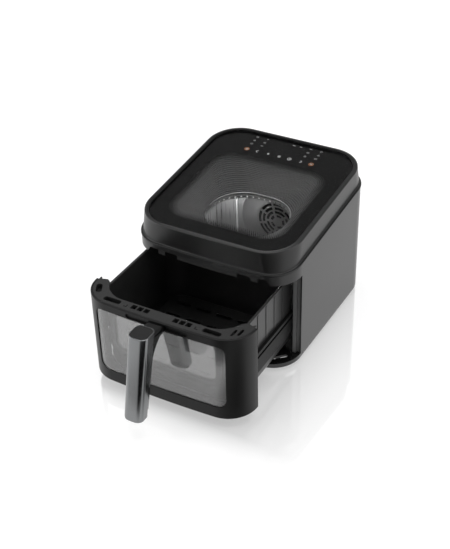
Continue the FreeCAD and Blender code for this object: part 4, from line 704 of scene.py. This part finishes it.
MARKS = {
    "ring": [(circle(3.9, 28), True)],
    "spot": [(circle(1.7, 14), True)],
    "back": [([(1.6, 3.2), (-1.6, 0.0), (1.6, -3.2)], False)],
    "heat": [([(0.0, -1.4), (0.0, 3.6)], False), (circle(1.5, 12), True)],
    "list": [([(-2.6, 2.0), (2.6, 2.0)], False), ([(-2.6, 0.0), (2.6, 0.0)], False),
             ([(-2.6, -2.0), (2.6, -2.0)], False)],
    "clock": [(circle(3.3), True), ([(0.0, 2.0), (0.0, 0.0), (1.6, 0.0)], False)],
    "next": [([(-1.6, 3.2), (1.6, 0.0), (-1.6, -3.2)], False)],
    "pause": [([(-1.1, -1.9), (-1.1, 1.9)], False), ([(1.1, -1.9), (1.1, 1.9)], False)],
    "square": [([(-1.9, -1.6), (1.9, -1.6), (1.9, 1.6), (-1.9, 1.6)], True)],
    "drop": [(circle(1.8, 14), True)],
    "arch": [(circle(2.2, 10, 0.0, 180.0), False), ([(-2.4, -0.9), (2.4, -0.9)], False)],
    "wave": [([(-2.4, 0.0), (-1.2, 1.2), (0.0, 0.0), (1.2, 1.2), (2.4, 0.0)], False)],
    "wedge": [([(-2.0, -1.4), (2.0, -1.4), (0.0, 1.9)], True)],
    "cross": [([(-1.7, 0.0), (1.7, 0.0)], False), ([(0.0, -1.7), (0.0, 1.7)], False)],
    "dash": [([(-2.4, 0.0), (2.4, 0.0)], False)],
}
TOUCH_ROW = 267.3
TOUCH_COLUMNS = (285.4, 297.4, 309.4)
BRIGHT_MARKS = [("back", -42.7, TOUCH_ROW), ("heat", -20.5, TOUCH_ROW), ("list", 1.2, TOUCH_ROW),
                ("clock", 21.0, TOUCH_ROW), ("next", 43.3, TOUCH_ROW), ("spot", -62.8, TOUCH_ROW),
                ("pause", 63.0, TOUCH_ROW), ("dash", 9.7, TOUCH_COLUMNS[2]), ("dash", 23.3, TOUCH_COLUMNS[2])]
PALE_MARKS = []
column_marks = {-63.0: ("arch", "wedge", "square"), -42.5: ("wave", "drop", "cross"),
                42.5: ("drop", "arch", "wave"), 63.0: ("square", "wedge", "drop")}
for x, kinds in column_marks.items():
    PALE_MARKS += [(kind, x, along) for kind, along in zip(kinds, TOUCH_COLUMNS)]
AMBER_MARKS = [("ring", -62.8, TOUCH_ROW), ("ring", 63.0, TOUCH_ROW)]


def printed_marks(name, marks, material, width=STROKE_WIDTH):
    """One piece that holds the strokes of several marks."""
    build = bmesh.new()
    for kind, x, along in marks:
        for points, closed in MARKS[kind]:
            moved = [(x + across, along + up) for across, up in points]
            ribbon(build, moved, on_slope, width, glass_top + STROKE_LIFT,
                   glass_top + STROKE_LIFT + STROKE_THICK, closed)
    make_piece(name, build, material, "housing", flat_ends=False)


bright_ink = grained("bright_mark_ink", 0.74, 0.82, 0.45, 0.00001, specular=0.3)
pale_ink = grained("pale_mark_ink", 0.26, 0.34, 0.45, 0.00001, specular=0.3)
amber_ink, amber_tree, amber_bsdf = new_material("amber_mark_ink", Roughness=0.45, Specular_IOR_Level=0.3)
amber_noise = add_node(amber_tree, "ShaderNodeTexNoise", Scale=400.0, Detail=2.0)
amber_mix = add_node(amber_tree, "ShaderNodeMix", {"data_type": "RGBA"}, Factor=amber_noise.outputs["Fac"])
amber_mix.inputs[6].default_value = (0.72, 0.26, 0.09, 1.0)
amber_mix.inputs[7].default_value = (0.84, 0.34, 0.14, 1.0)
amber_tree.links.new(amber_mix.outputs[2], amber_bsdf.inputs["Base Color"])
printed_marks("touch_marks_bright", BRIGHT_MARKS, bright_ink)
printed_marks("touch_marks_pale", PALE_MARKS, pale_ink)
printed_marks("touch_marks_amber", AMBER_MARKS, amber_ink, RING_STROKE)

# %% [markdown]
# ## Ribbed funnel
#
# The funnel between the glass and the chamber is moulded as a flight of fine steps that break up stray
# light. The model has it smooth. Here its inside climbs from the round opening below to the squarer
# one above, one tread and one riser at a time, and its outside is a single plain wall.

# %% Funnel
FUNNEL_RIBS = 20
TREAD_PART = 0.9
RISER_PART = 0.8
FUNNEL_WALL = 2.0
FUNNEL_LOW = 201.6
FUNNEL_HIGH = film_low - 0.1
CHAMBER_VIEW = (72.0, 80.0, 212.0, 60.0)


def chamber_outline(grow):
    half, front, back, radius = CHAMBER_VIEW
    return rounded(half + grow, front - grow, back + grow, radius + grow, CORNER_STEPS)


def funnel_ring(outward, upward, grow=0.0):
    """A ring of the funnel's wall; both parts run from 0 at the chamber to 1 under the glass."""
    lower = [on_housing(x, y, FUNNEL_LOW) for x, y in chamber_outline(grow)]
    upper = slope_ring(view_outline(-grow), FUNNEL_HIGH)
    ring = []
    for low, high in zip(lower, upper):
        point = low.lerp(high, outward)
        point.z = low.z + upward * (high.z - low.z)
        ring.append(point)
    return ring


funnel_rings = []
for rib in range(FUNNEL_RIBS):
    for tread, riser in ((0.0, 0.0), (TREAD_PART, 1 - RISER_PART)):
        funnel_rings.append(funnel_ring((rib + tread) / FUNNEL_RIBS, (rib + riser) / FUNNEL_RIBS))
funnel_rings += [funnel_ring(1.0, 1.0), funnel_ring(1.0, 1.0, FUNNEL_WALL), funnel_ring(0.0, 0.0, FUNNEL_WALL)]
funnel_black = grained("stepped_funnel_plastic", 0.095, 0.115, 0.24, 0.00001, specular=0.4)
build = bmesh.new()
skin(build, funnel_rings, closed=True)
funnel = make_piece("ribbed_funnel", build, funnel_black, "housing", sharp=20.0)
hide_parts("window_funnel")

# %% [markdown]
# ## Perforated collar
#
# A short steel collar with a row of holes lines the chamber's opening. It is built as a strip of
# square cells, each with an eight-sided hole in its middle, wrapped along the opening's outline and
# then given its thickness.

# %% Collar
COLLAR_INSET = 0.6
COLLAR_LOW = 190.6
COLLAR_HIGH = 195.8
COLLAR_CELL = 10.8
HOLE_RADIUS = 1.7
COLLAR_SHEET = 0.5

half_cells = walk(chamber_outline(-COLLAR_INSET), COLLAR_CELL / 2)
if len(half_cells) % 2:
    half_cells = walk(chamber_outline(-COLLAR_INSET), COLLAR_CELL / 2 * len(half_cells) / (len(half_cells) + 1))
collar_middle = (COLLAR_LOW + COLLAR_HIGH) / 2
levels = (COLLAR_LOW, collar_middle, COLLAR_HIGH)
build = bmesh.new()
grid = [[build.verts.new(on_housing(x, y, level)) for level in levels] for (x, y), direction in half_cells]
for left in range(0, len(half_cells), 2):
    middle, right = left + 1, (left + 2) % len(half_cells)
    square = [grid[right][1], grid[right][2], grid[middle][2], grid[left][2], grid[left][1], grid[left][0],
              grid[middle][0], grid[right][0]]
    (x, y), (along_x, along_y) = half_cells[middle]
    hole = []
    for corner in range(8):
        turn = math.radians(45 * corner)
        side = HOLE_RADIUS * math.cos(turn)
        hole.append(build.verts.new(on_housing(x + side * along_x, y + side * along_y,
                                               collar_middle + HOLE_RADIUS * math.sin(turn))))
    for corner in range(8):
        after = (corner + 1) % 8
        build.faces.new((square[corner], square[after], hole[after], hole[corner]))
bmesh.ops.recalc_face_normals(build, faces=build.faces[:])
bmesh.ops.solidify(build, geom=build.faces[:], thickness=COLLAR_SHEET * MM)
make_piece("window_collar", build, guard_steel, "housing", sharp=25.0)
print(f"{len(half_cells) // 2} holes in the collar")

# %% [markdown]
# Behind the holes runs a strip: near the lamp it glows white, a painted light that stands in for the
# lamp's light through the holes, and on the other side it is dark, painted shade. A thin steel bead
# finishes the back of the funnel's foot. Both follow part of the opening's outline, as bars.

# %% Strips and bead
STRIP_GROW = (1.0, 1.8)
STRIP_LEVELS = (190.8, 195.6)
PAINTED_STRIP_GLOW = 0.5
BEAD_RADIUS = 0.9
BEAD_LEVEL = FUNNEL_LOW + 0.6
BEAD_SIDES = 10


def level_ring(grow, level):
    return [on_housing(x, y, level) for x, y in chamber_outline(grow)]


def opening_bar(name, section, part, material):
    """A bar along part of the opening's outline; its section is given by outward and upward places."""
    lines = [level_ring(grow, level)[part] for grow, level in section]
    build = bmesh.new()
    solid(build, [list(points) for points in zip(*lines)])
    make_piece(name, build, material, "housing", sharp=60.0)


corner_points = CORNER_STEPS + 1
lamp_side = 2 * corner_points - 2
strip_section = [(STRIP_GROW[0], STRIP_LEVELS[0]), (STRIP_GROW[1], STRIP_LEVELS[0]),
                 (STRIP_GROW[1], STRIP_LEVELS[1]), (STRIP_GROW[0], STRIP_LEVELS[1])]
# The glowing strip is painted light, not a lamp; the dark strip is painted shade.
painted_light_white = grained("painted_light_diffuser", 0.70, 0.78, 0.6, 0.00003, Emission_Color=grey(1.0), Emission_Strength=PAINTED_STRIP_GLOW)
opening_bar("painted_light_strip", strip_section, slice(lamp_side, 3 * corner_points), painted_light_white)
opening_bar("painted_shade_strip", strip_section, slice(corner_points, lamp_side + 1), runner_black)
bead_section = [(x, BEAD_LEVEL + y) for x, y in circle(BEAD_RADIUS, BEAD_SIDES)]
opening_bar("view_bead", bead_section, slice(corner_points + 2, 3 * corner_points + 1), guard_steel)

# %% [markdown]
# ## Fan guard
#
# The guard is a pressed disc with four rings of slots. It is drawn on a polar grid: a cell of the grid
# gets a face unless it lies in a slot, and the sheet is thickened at the end. The middle of the disc
# stands forward, with a sloping edge round it, and the rim is rolled, so both edges catch the light.

# %% Guard
GUARD_COLUMNS = 180
GUARD_SHEET = 0.8
GUARD_FORWARD = 1.4
ROLL_FORWARD = 0.7
SLOT_RINGS = ((9.2, 14.3, 5, 40.0), (17.2, 22.3, 5, 40.0), (25.2, 30.3, 8, 17.0), (33.2, 38.3, 8, 17.0))
BAR_WIDTH = 3.6
GUARD_EDGE = (42.5, 45.0)
ROLL_RADII = (71.4, 72.7, 74.0)

guard_low, guard_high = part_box("fan_guard")
guard_middle = (guard_low + guard_high) / 2
radii = [3.0]
for inner, outer, count, first in SLOT_RINGS:
    radii += [inner, outer]
radii += [*GUARD_EDGE, *ROLL_RADII]
forward = {GUARD_EDGE[1]: 0.0, ROLL_RADII[0]: 0.0, ROLL_RADII[1]: ROLL_FORWARD, ROLL_RADII[2]: 0.0}
turns = [2 * math.pi * column / GUARD_COLUMNS for column in range(GUARD_COLUMNS)]
build = bmesh.new()
grid = []
for radius in radii:
    back = guard_high.y - forward.get(radius, GUARD_FORWARD) * MM
    grid.append([build.verts.new((radius * MM * math.cos(turn), back, guard_middle.z + radius * MM * math.sin(turn)))
                 for turn in turns])
slots = {inner: (count, first) for inner, outer, count, first in SLOT_RINGS}


def is_open(radius, turn):
    """Whether a cell that starts at this radius lies in a slot."""
    if radius not in slots:
        return False
    count, first = slots[radius]
    part = (math.degrees(turn) - first) % (360 / count)
    part = min(part, 360 / count - part)
    return math.radians(part) * radius > BAR_WIDTH / 2


build.faces.new(grid[0])
for ring, radius in enumerate(radii[:-1]):
    for column, turn in enumerate(turns):
        if not is_open(radius, turn + math.pi / GUARD_COLUMNS):
            after = (column + 1) % GUARD_COLUMNS
            build.faces.new((grid[ring][column], grid[ring][after], grid[ring + 1][after], grid[ring + 1][column]))
bmesh.ops.recalc_face_normals(build, faces=build.faces[:])
bmesh.ops.solidify(build, geom=build.faces[:], thickness=GUARD_SHEET * MM)
guard = make_piece("slotted_guard", build, guard_steel, "housing", flat_ends=False)
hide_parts("fan_guard")

# %% [markdown]
# Two upright ribs are pressed into the back wall, beside the guard. Each is half a round bar, coloured near white: a
# painted highlight that draws a bright line down the steel.

# %% Wall ribs
RIB_SIDE = 84.5
RIB_RADIUS = 1.8
RIB_LEVELS = (24.0, 186.0)
RIB_STEPS = 8
wall_face = guard_high.y
build = bmesh.new()
for side in (-1, 1):
    section = circle(RIB_RADIUS, RIB_STEPS, 180.0, 180.0)
    solid(build, [[Vector(((side * RIB_SIDE + x) * MM, wall_face + y * MM, level * MM)) for x, y in section]
                  for level in RIB_LEVELS])
make_piece("wall_ribs", build, rib_painted_highlight, "housing", sharp=60.0)

# %% [markdown]
# ## Handle grip and cap
#
# The grip leans, so its section moves back as it rises. Its corners carry the long reflections that
# make it look like metal, and they need many more steps than the model has. The rings start under
# the foot, go round its edge, up the bar, over the top edge and down into the bed of the cap.

# %% Grip
FACE_STEPS = 12
GRIP_HALF = 17.0
GRIP_RADIUS = 10.0
GRIP_LOW = 38.0
GRIP_LEAN = 42.0
GRIP_HIGH = 180.0
GRIP_FOOT_ROUND = 2.0
GRIP_TOP_ROUND = 0.7
CAP_INSET = 1.6
CAP_DEPTH = 2.5
CAP_GAP = 0.25
FRONT_LOW, FRONT_HIGH = -86.0, -56.5
BACK_LOW, BACK_HIGH = -58.0, -21.5
GRIP_CROWN = 1.6


def grip_outline(level, inset):
    """The grip's section at a level, with its front face slightly crowned."""
    part = max(0.0, (level - GRIP_LEAN) / (GRIP_HIGH - GRIP_LEAN))
    front = FRONT_LOW + part * (FRONT_HIGH - FRONT_LOW) + inset
    back = BACK_LOW + part * (BACK_HIGH - BACK_LOW) - inset
    flat = rounded(GRIP_HALF - inset, front, back, GRIP_RADIUS - inset, CORNER_STEPS, FACE_STEPS)
    middle = (front + back) / 2
    crown = GRIP_CROWN / GRIP_HALF ** 2
    return [(x, y + crown * x * x * max(0.0, (middle - y) / (middle - front))) for x, y in flat]


def grip_ring(level, inset):
    return [on_drawer(x, y, level) for x, y in grip_outline(level, inset)]


grip_rings = []
for step in range(QUARTER_STEPS + 1):
    turn = math.radians(90 * step / QUARTER_STEPS)
    grip_rings.append(grip_ring(GRIP_LOW + GRIP_FOOT_ROUND * (1 - math.cos(turn)),
                                GRIP_FOOT_ROUND * (1 - math.sin(turn))))
grip_rings += [grip_ring(GRIP_LEAN, 0.0), grip_ring(GRIP_HIGH - GRIP_TOP_ROUND, 0.0)]
for step in range(1, QUARTER_STEPS + 1):
    turn = math.radians(90 * step / QUARTER_STEPS)
    grip_rings.append(grip_ring(GRIP_HIGH - GRIP_TOP_ROUND * (1 - math.sin(turn)),
                                GRIP_TOP_ROUND * (1 - math.cos(turn))))
grip_rings += [[on_drawer(x, y, level) for x, y in grip_outline(GRIP_HIGH, CAP_INSET)]
               for level in (GRIP_HIGH, GRIP_HIGH - CAP_DEPTH)]
build = bmesh.new()
solid(build, grip_rings)
grip = make_piece("grip_bar", build, grip_metal, "drawer")
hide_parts("handle_grip")

# %% Cap
CAP_TOP = GRIP_HIGH - 0.3
CAP_BEVEL = 0.5


def cap_outline(inset):
    return grip_outline(GRIP_HIGH, CAP_INSET + CAP_GAP + inset)


build = bmesh.new()
solid(build, bevelled(cap_outline, on_drawer, GRIP_HIGH - CAP_DEPTH, CAP_TOP, CAP_BEVEL))
cap = make_piece("grip_cap", build, cap_black, "drawer")
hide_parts("handle_cap")

# %% [markdown]
# ## Closing the drawer front
#
# The drawer front is a shell, and a plate on each side of the pan closes it from behind, with a notch
# where the runner passes. Without them the floor would show through the window's ends and the slots
# of the rim.

# %% Back plates
PLATE_NEAR, PLATE_NOTCH, PLATE_FAR = 127.0, 129.6, 142.6
PLATE_BACK = (51.0, 53.0)
PLATE_LOW, NOTCH_LOW, NOTCH_HIGH, PLATE_HIGH = 22.0, 54.0, 95.0, 167.0
plate_outline = [(PLATE_NEAR, PLATE_LOW), (PLATE_FAR, PLATE_LOW), (PLATE_FAR, PLATE_HIGH),
                 (PLATE_NEAR, PLATE_HIGH), (PLATE_NEAR, NOTCH_HIGH), (PLATE_NOTCH, NOTCH_HIGH),
                 (PLATE_NOTCH, NOTCH_LOW), (PLATE_NEAR, NOTCH_LOW)]
build = bmesh.new()
for side in (-1, 1):
    solid(build, [[on_drawer(side * x, back, level) for x, level in plate_outline] for back in PLATE_BACK])
make_piece("drawer_back_plates", build, inner_black, "drawer")

# %% [markdown]
# ## Pockets under the rim
#
# The slots in the rim are blind: a dark tray lies close under them, in two halves that leave the
# middle free for the magnet. Each half is a flat bar that follows the bow and the corner of the
# drawer's outline, which is the outline of the casing.

# %% Rim trays
TRAY_INSETS = (8.0, 20.0)
TRAY_LEVELS = (166.1, 167.1)
TRAY_MIDDLE = 12.0
front_order = [*range(3 * corner_points, 4 * corner_points + BOW_STEPS - 1), *range(corner_points)]
outer_line, inner_line = ([plan_outline(inset)[index] for index in front_order] for inset in TRAY_INSETS)
corners = [(line, level) for line, level in ((outer_line, TRAY_LEVELS[0]), (inner_line, TRAY_LEVELS[0]),
                                             (inner_line, TRAY_LEVELS[1]), (outer_line, TRAY_LEVELS[1]))]
build = bmesh.new()
for side in (-1, 1):
    places = [index for index, (x, y) in enumerate(outer_line) if side * x > TRAY_MIDDLE]
    solid(build, [[on_drawer(*line[index], level) for line, level in corners] for index in places])
make_piece("rim_trays", build, frame_coating, "drawer")

# %% [markdown]
# ## Marks on the drawer's rim
#
# Two small corner-shaped marks on the rim show where the drawer locks. They are raised by the
# thickness of a coat of paint.

# %% Rim marks
RIM_MARK_SIDE = 64.5
RIM_MARK_BACK = 15.0
RIM_MARK_ARM = 2.6
RIM_MARK_WIDTH = 1.7
RIM_MARK_LIFT = 0.02
RIM_MARK_THICK = 0.12
build = bmesh.new()
for side in (-1, 1):
    arm = RIM_MARK_ARM
    x = side * RIM_MARK_SIDE
    corner = [(x - side * arm, RIM_MARK_BACK + arm), (x - side * arm, RIM_MARK_BACK - arm),
              (x + side * arm, RIM_MARK_BACK - arm)]
    low = drawer_top / MM + RIM_MARK_LIFT
    ribbon(build, corner, on_drawer, RIM_MARK_WIDTH, low, low + RIM_MARK_THICK)
make_piece("rim_marks", build, neck_black, "drawer")

# %% [markdown]
# ## Studio
#
# A white floor, a pale world and three large soft lights. The floor adds a little of its own light
# for rays that come from the camera, a reflection or a pane, more of it far off, which brings the
# open floor to white and still leaves the shadow. Reflections also meet painted reflections: patches
# of floor before the grip that turn black for reflection rays only, with no card there, to draw a dark
# line down a shiny bar as a product photographer's dark card would.

# %% Floor
floor_mesh = bpy.data.meshes.new("studio_floor")
floor_build = bmesh.new()
bmesh.ops.create_grid(floor_build, x_segments=2, y_segments=2, size=6.0)
floor_build.to_mesh(floor_mesh)
floor_build.free()
floor = bpy.data.objects.new("studio_floor", floor_mesh)
bpy.context.scene.collection.objects.link(floor)

NEAR_GLOW = 0.76
FAR_GLOW = 1.0
MIRROR_GLOW = 0.70
SKY_LEVEL = 0.38
POLISH = 0.95
POLISH_FADE = (0.12, 0.028)
# Painted dark reflections: floor patches, given across, along and darkness, that turn black only in reflections.
PAINTED_REFLECTION_CARDS = (((0.02, 2.00, 0.04), (-3.00, -0.385, 0.03), 1.0), ((0.12, 0.36, 0.07), (-0.30, -0.17, 0.04), 0.9),
         ((0.05, 0.20, 0.03), (-0.40, -0.345, 0.02), 0.65), ((-0.15, 2.00, 0.25), (-3.00, -0.40, 0.05), 0.55))

floor_white, floor_tree, floor_bsdf = new_material("studio_white", Base_Color=grey(0.38), Roughness=0.6,
                                                   Specular_IOR_Level=0.0)
floor_place = add_node(floor_tree, "ShaderNodeTexCoord").outputs["Object"]
floor_axes = add_node(floor_tree, "ShaderNodeSeparateXYZ", Vector=floor_place)
floor_reach = add_node(floor_tree, "ShaderNodeVectorMath", {"operation": "LENGTH"}, i0=floor_place)
floor_path = add_node(floor_tree, "ShaderNodeLightPath")
floor_far = add_node(floor_tree, "ShaderNodeMapRange", {"interpolation_type": "SMOOTHSTEP"},
                     Value=floor_reach.outputs["Value"], i1=0.8, i2=2.4, i3=NEAR_GLOW, i4=FAR_GLOW)

# %% [markdown]
# The floor is polished round the object, and the polish fades with the distance from the object's
# outline. Where the polish mirrors the sky it gives back the light that the glow is dimmed by, so
# that only the object's own reflection is seen.

# %% Polish
sides = (("X", cad_box[0].x, cad_box[1].x), ("Y", drawer_face, cad_box[1].y))
outside = []
for (axis, low, high), fade in zip(sides, POLISH_FADE):
    apart = math_node(floor_tree, "SUBTRACT", floor_axes.outputs[axis], (low + high) / 2)
    beyond = math_node(floor_tree, "SUBTRACT", math_node(floor_tree, "ABSOLUTE", apart), (high - low) / 2)
    outside.append(math_node(floor_tree, "DIVIDE", math_node(floor_tree, "MAXIMUM", beyond, 0.0), fade))
floor_away = add_node(floor_tree, "ShaderNodeCombineXYZ", X=outside[0], Y=outside[1])
floor_distance = add_node(floor_tree, "ShaderNodeVectorMath", {"operation": "LENGTH"}, i0=floor_away.outputs[0])
floor_fade = math_node(floor_tree, "POWER", 1 / math.e, floor_distance.outputs["Value"])
floor_polish = math_node(floor_tree, "MULTIPLY", math_node(floor_tree, "MULTIPLY", floor_fade, POLISH),
                         floor_path.outputs["Is Camera Ray"])
polish_colour = add_node(floor_tree, "ShaderNodeCombineColor", Red=floor_polish, Green=floor_polish,
                         Blue=floor_polish)
floor_gloss = add_node(floor_tree, "ShaderNodeBsdfGlossy", Color=polish_colour.outputs[0], Roughness=0.05)

# %% Glow and painted reflections
floor_mirror = math_node(floor_tree, "MAXIMUM", floor_path.outputs["Is Glossy Ray"],
                         floor_path.outputs["Is Transmission Ray"])
floor_shown = math_node(floor_tree, "MULTIPLY", floor_path.outputs["Is Camera Ray"], floor_far.outputs["Result"])
floor_dimmed = math_node(floor_tree, "SUBTRACT", floor_shown, math_node(floor_tree, "MULTIPLY", floor_polish, SKY_LEVEL))
floor_glow = math_node(floor_tree, "ADD", floor_dimmed, math_node(floor_tree, "MULTIPLY", floor_mirror, MIRROR_GLOW))
floor_light = add_node(floor_tree, "ShaderNodeEmission", Color=grey(1.0), Strength=floor_glow)
floor_lit = add_node(floor_tree, "ShaderNodeAddShader", i0=floor_bsdf.outputs[0], i1=floor_light.outputs[0])
floor_sum = add_node(floor_tree, "ShaderNodeAddShader", i0=floor_lit.outputs[0], i1=floor_gloss.outputs[0])


def ramp_between(value, start, end):
    """A soft step from 0 to 1 as value goes from start to end."""
    return add_node(floor_tree, "ShaderNodeMapRange", {"interpolation_type": "SMOOTHSTEP"}, Value=value,
                    i1=start, i2=end, i3=0.0, i4=1.0).outputs["Result"]


floor_result = floor_sum.outputs[0]
painted_reflection_black = add_node(floor_tree, "ShaderNodeBsdfDiffuse", Color=grey(0.01))
# Each patch is a painted dark reflection: the floor turns black only for glossy rays.
for across, along, darkness in PAINTED_REFLECTION_CARDS:
    painted_reflection_mask = math_node(floor_tree, "MULTIPLY", floor_path.outputs["Is Glossy Ray"], darkness)
    for axis, (low, high, edge) in (("X", across), ("Y", along)):
        value = floor_axes.outputs[axis]
        painted_reflection_mask = math_node(floor_tree, "MULTIPLY", painted_reflection_mask, ramp_between(value, low - edge, low + edge))
        painted_reflection_mask = math_node(floor_tree, "MULTIPLY", painted_reflection_mask, ramp_between(value, high + edge, high - edge))
    floor_result = add_node(floor_tree, "ShaderNodeMixShader", i0=painted_reflection_mask, i1=floor_result,
                            i2=painted_reflection_black.outputs[0]).outputs[0]
floor_tree.links.new(floor_result, floor_tree.nodes["Material Output"].inputs["Surface"])
floor_mesh.materials.append(floor_white)

# %% World
world = bpy.data.worlds.new("studio_world")
bpy.context.scene.world = world
world.use_nodes = True
world_tree = world.node_tree
world_place = add_node(world_tree, "ShaderNodeTexCoord")
world_axes = add_node(world_tree, "ShaderNodeSeparateXYZ", Vector=world_place.outputs["Generated"])
world_low = add_node(world_tree, "ShaderNodeMapRange", {"interpolation_type": "SMOOTHSTEP"},
                     Value=world_axes.outputs["Z"], i1=0.2, i2=0.45, i3=0.80, i4=SKY_LEVEL)
world_high = add_node(world_tree, "ShaderNodeMapRange", {"interpolation_type": "SMOOTHSTEP"},
                      Value=world_axes.outputs["Z"], i1=0.72, i2=0.90, i3=1.0, i4=0.13)
world_fade = math_node(world_tree, "MULTIPLY", world_low.outputs["Result"], world_high.outputs["Result"])
world_path = add_node(world_tree, "ShaderNodeLightPath")
world_level = add_node(world_tree, "ShaderNodeMix", Factor=world_path.outputs["Is Camera Ray"])
world_tree.links.new(world_fade, world_level.inputs[2])
world_level.inputs[3].default_value = 1.0
world_tree.links.new(world_level.outputs[0], world_tree.nodes["Background"].inputs["Strength"])
world_tree.nodes["Background"].inputs["Color"].default_value = grey(1.0)

# %% Lights

def soft_light(name, place, target, size, power):
    """A rectangular soft light that faces a point."""
    data = bpy.data.lights.new(name, "AREA")
    data.shape = "RECTANGLE"
    data.size, data.size_y = size
    data.energy = power
    light = bpy.data.objects.new(name, data)
    light.location = place
    light.rotation_euler = (Vector(target) - Vector(place)).to_track_quat("-Z", "Y").to_euler()
    bpy.context.scene.collection.objects.link(light)
    print(f"{name}: {power} W")


soft_light("overhead_light", (0.0, 0.1, 1.9), (0.0, 0.0, 0.1), (1.8, 1.6), 22.0)
soft_light("right_light", (1.9, 0.3, 0.9), (0.1, 0.0, 0.15), (1.4, 1.6), 10.0)
soft_light("left_light", (-1.7, -0.9, 1.0), (-0.1, -0.1, 0.1), (1.4, 1.6), 14.0)

# %% [markdown]
# The chamber has a lamp of its own behind the lens in its roof. A small light just under the lens
# brightens the steel, as it does when the drawer is opened.

# %% Chamber lamp
LAMP_RADIUS = 0.010
LAMP_POWER = 0.34
lens_low, lens_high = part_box("lamp_lens")
lamp_data = bpy.data.lights.new("chamber_light", "POINT")
lamp_data.energy = LAMP_POWER
lamp_data.shadow_soft_size = LAMP_RADIUS
lamp = bpy.data.objects.new("chamber_light", lamp_data)
lamp.location = (lens_low + lens_high) / 2
lamp.location.z = lens_low.z - LAMP_RADIUS - 2 * MM
bpy.context.scene.collection.objects.link(lamp)
print(f"chamber_light: {LAMP_POWER} W at {[round(value, 3) for value in lamp.location]}")

# %% [markdown]
# ## Colour transform
#
# The colours are shown with the Standard transform.

# %% Finish
bpy.context.scene.view_settings.view_transform = "Standard"
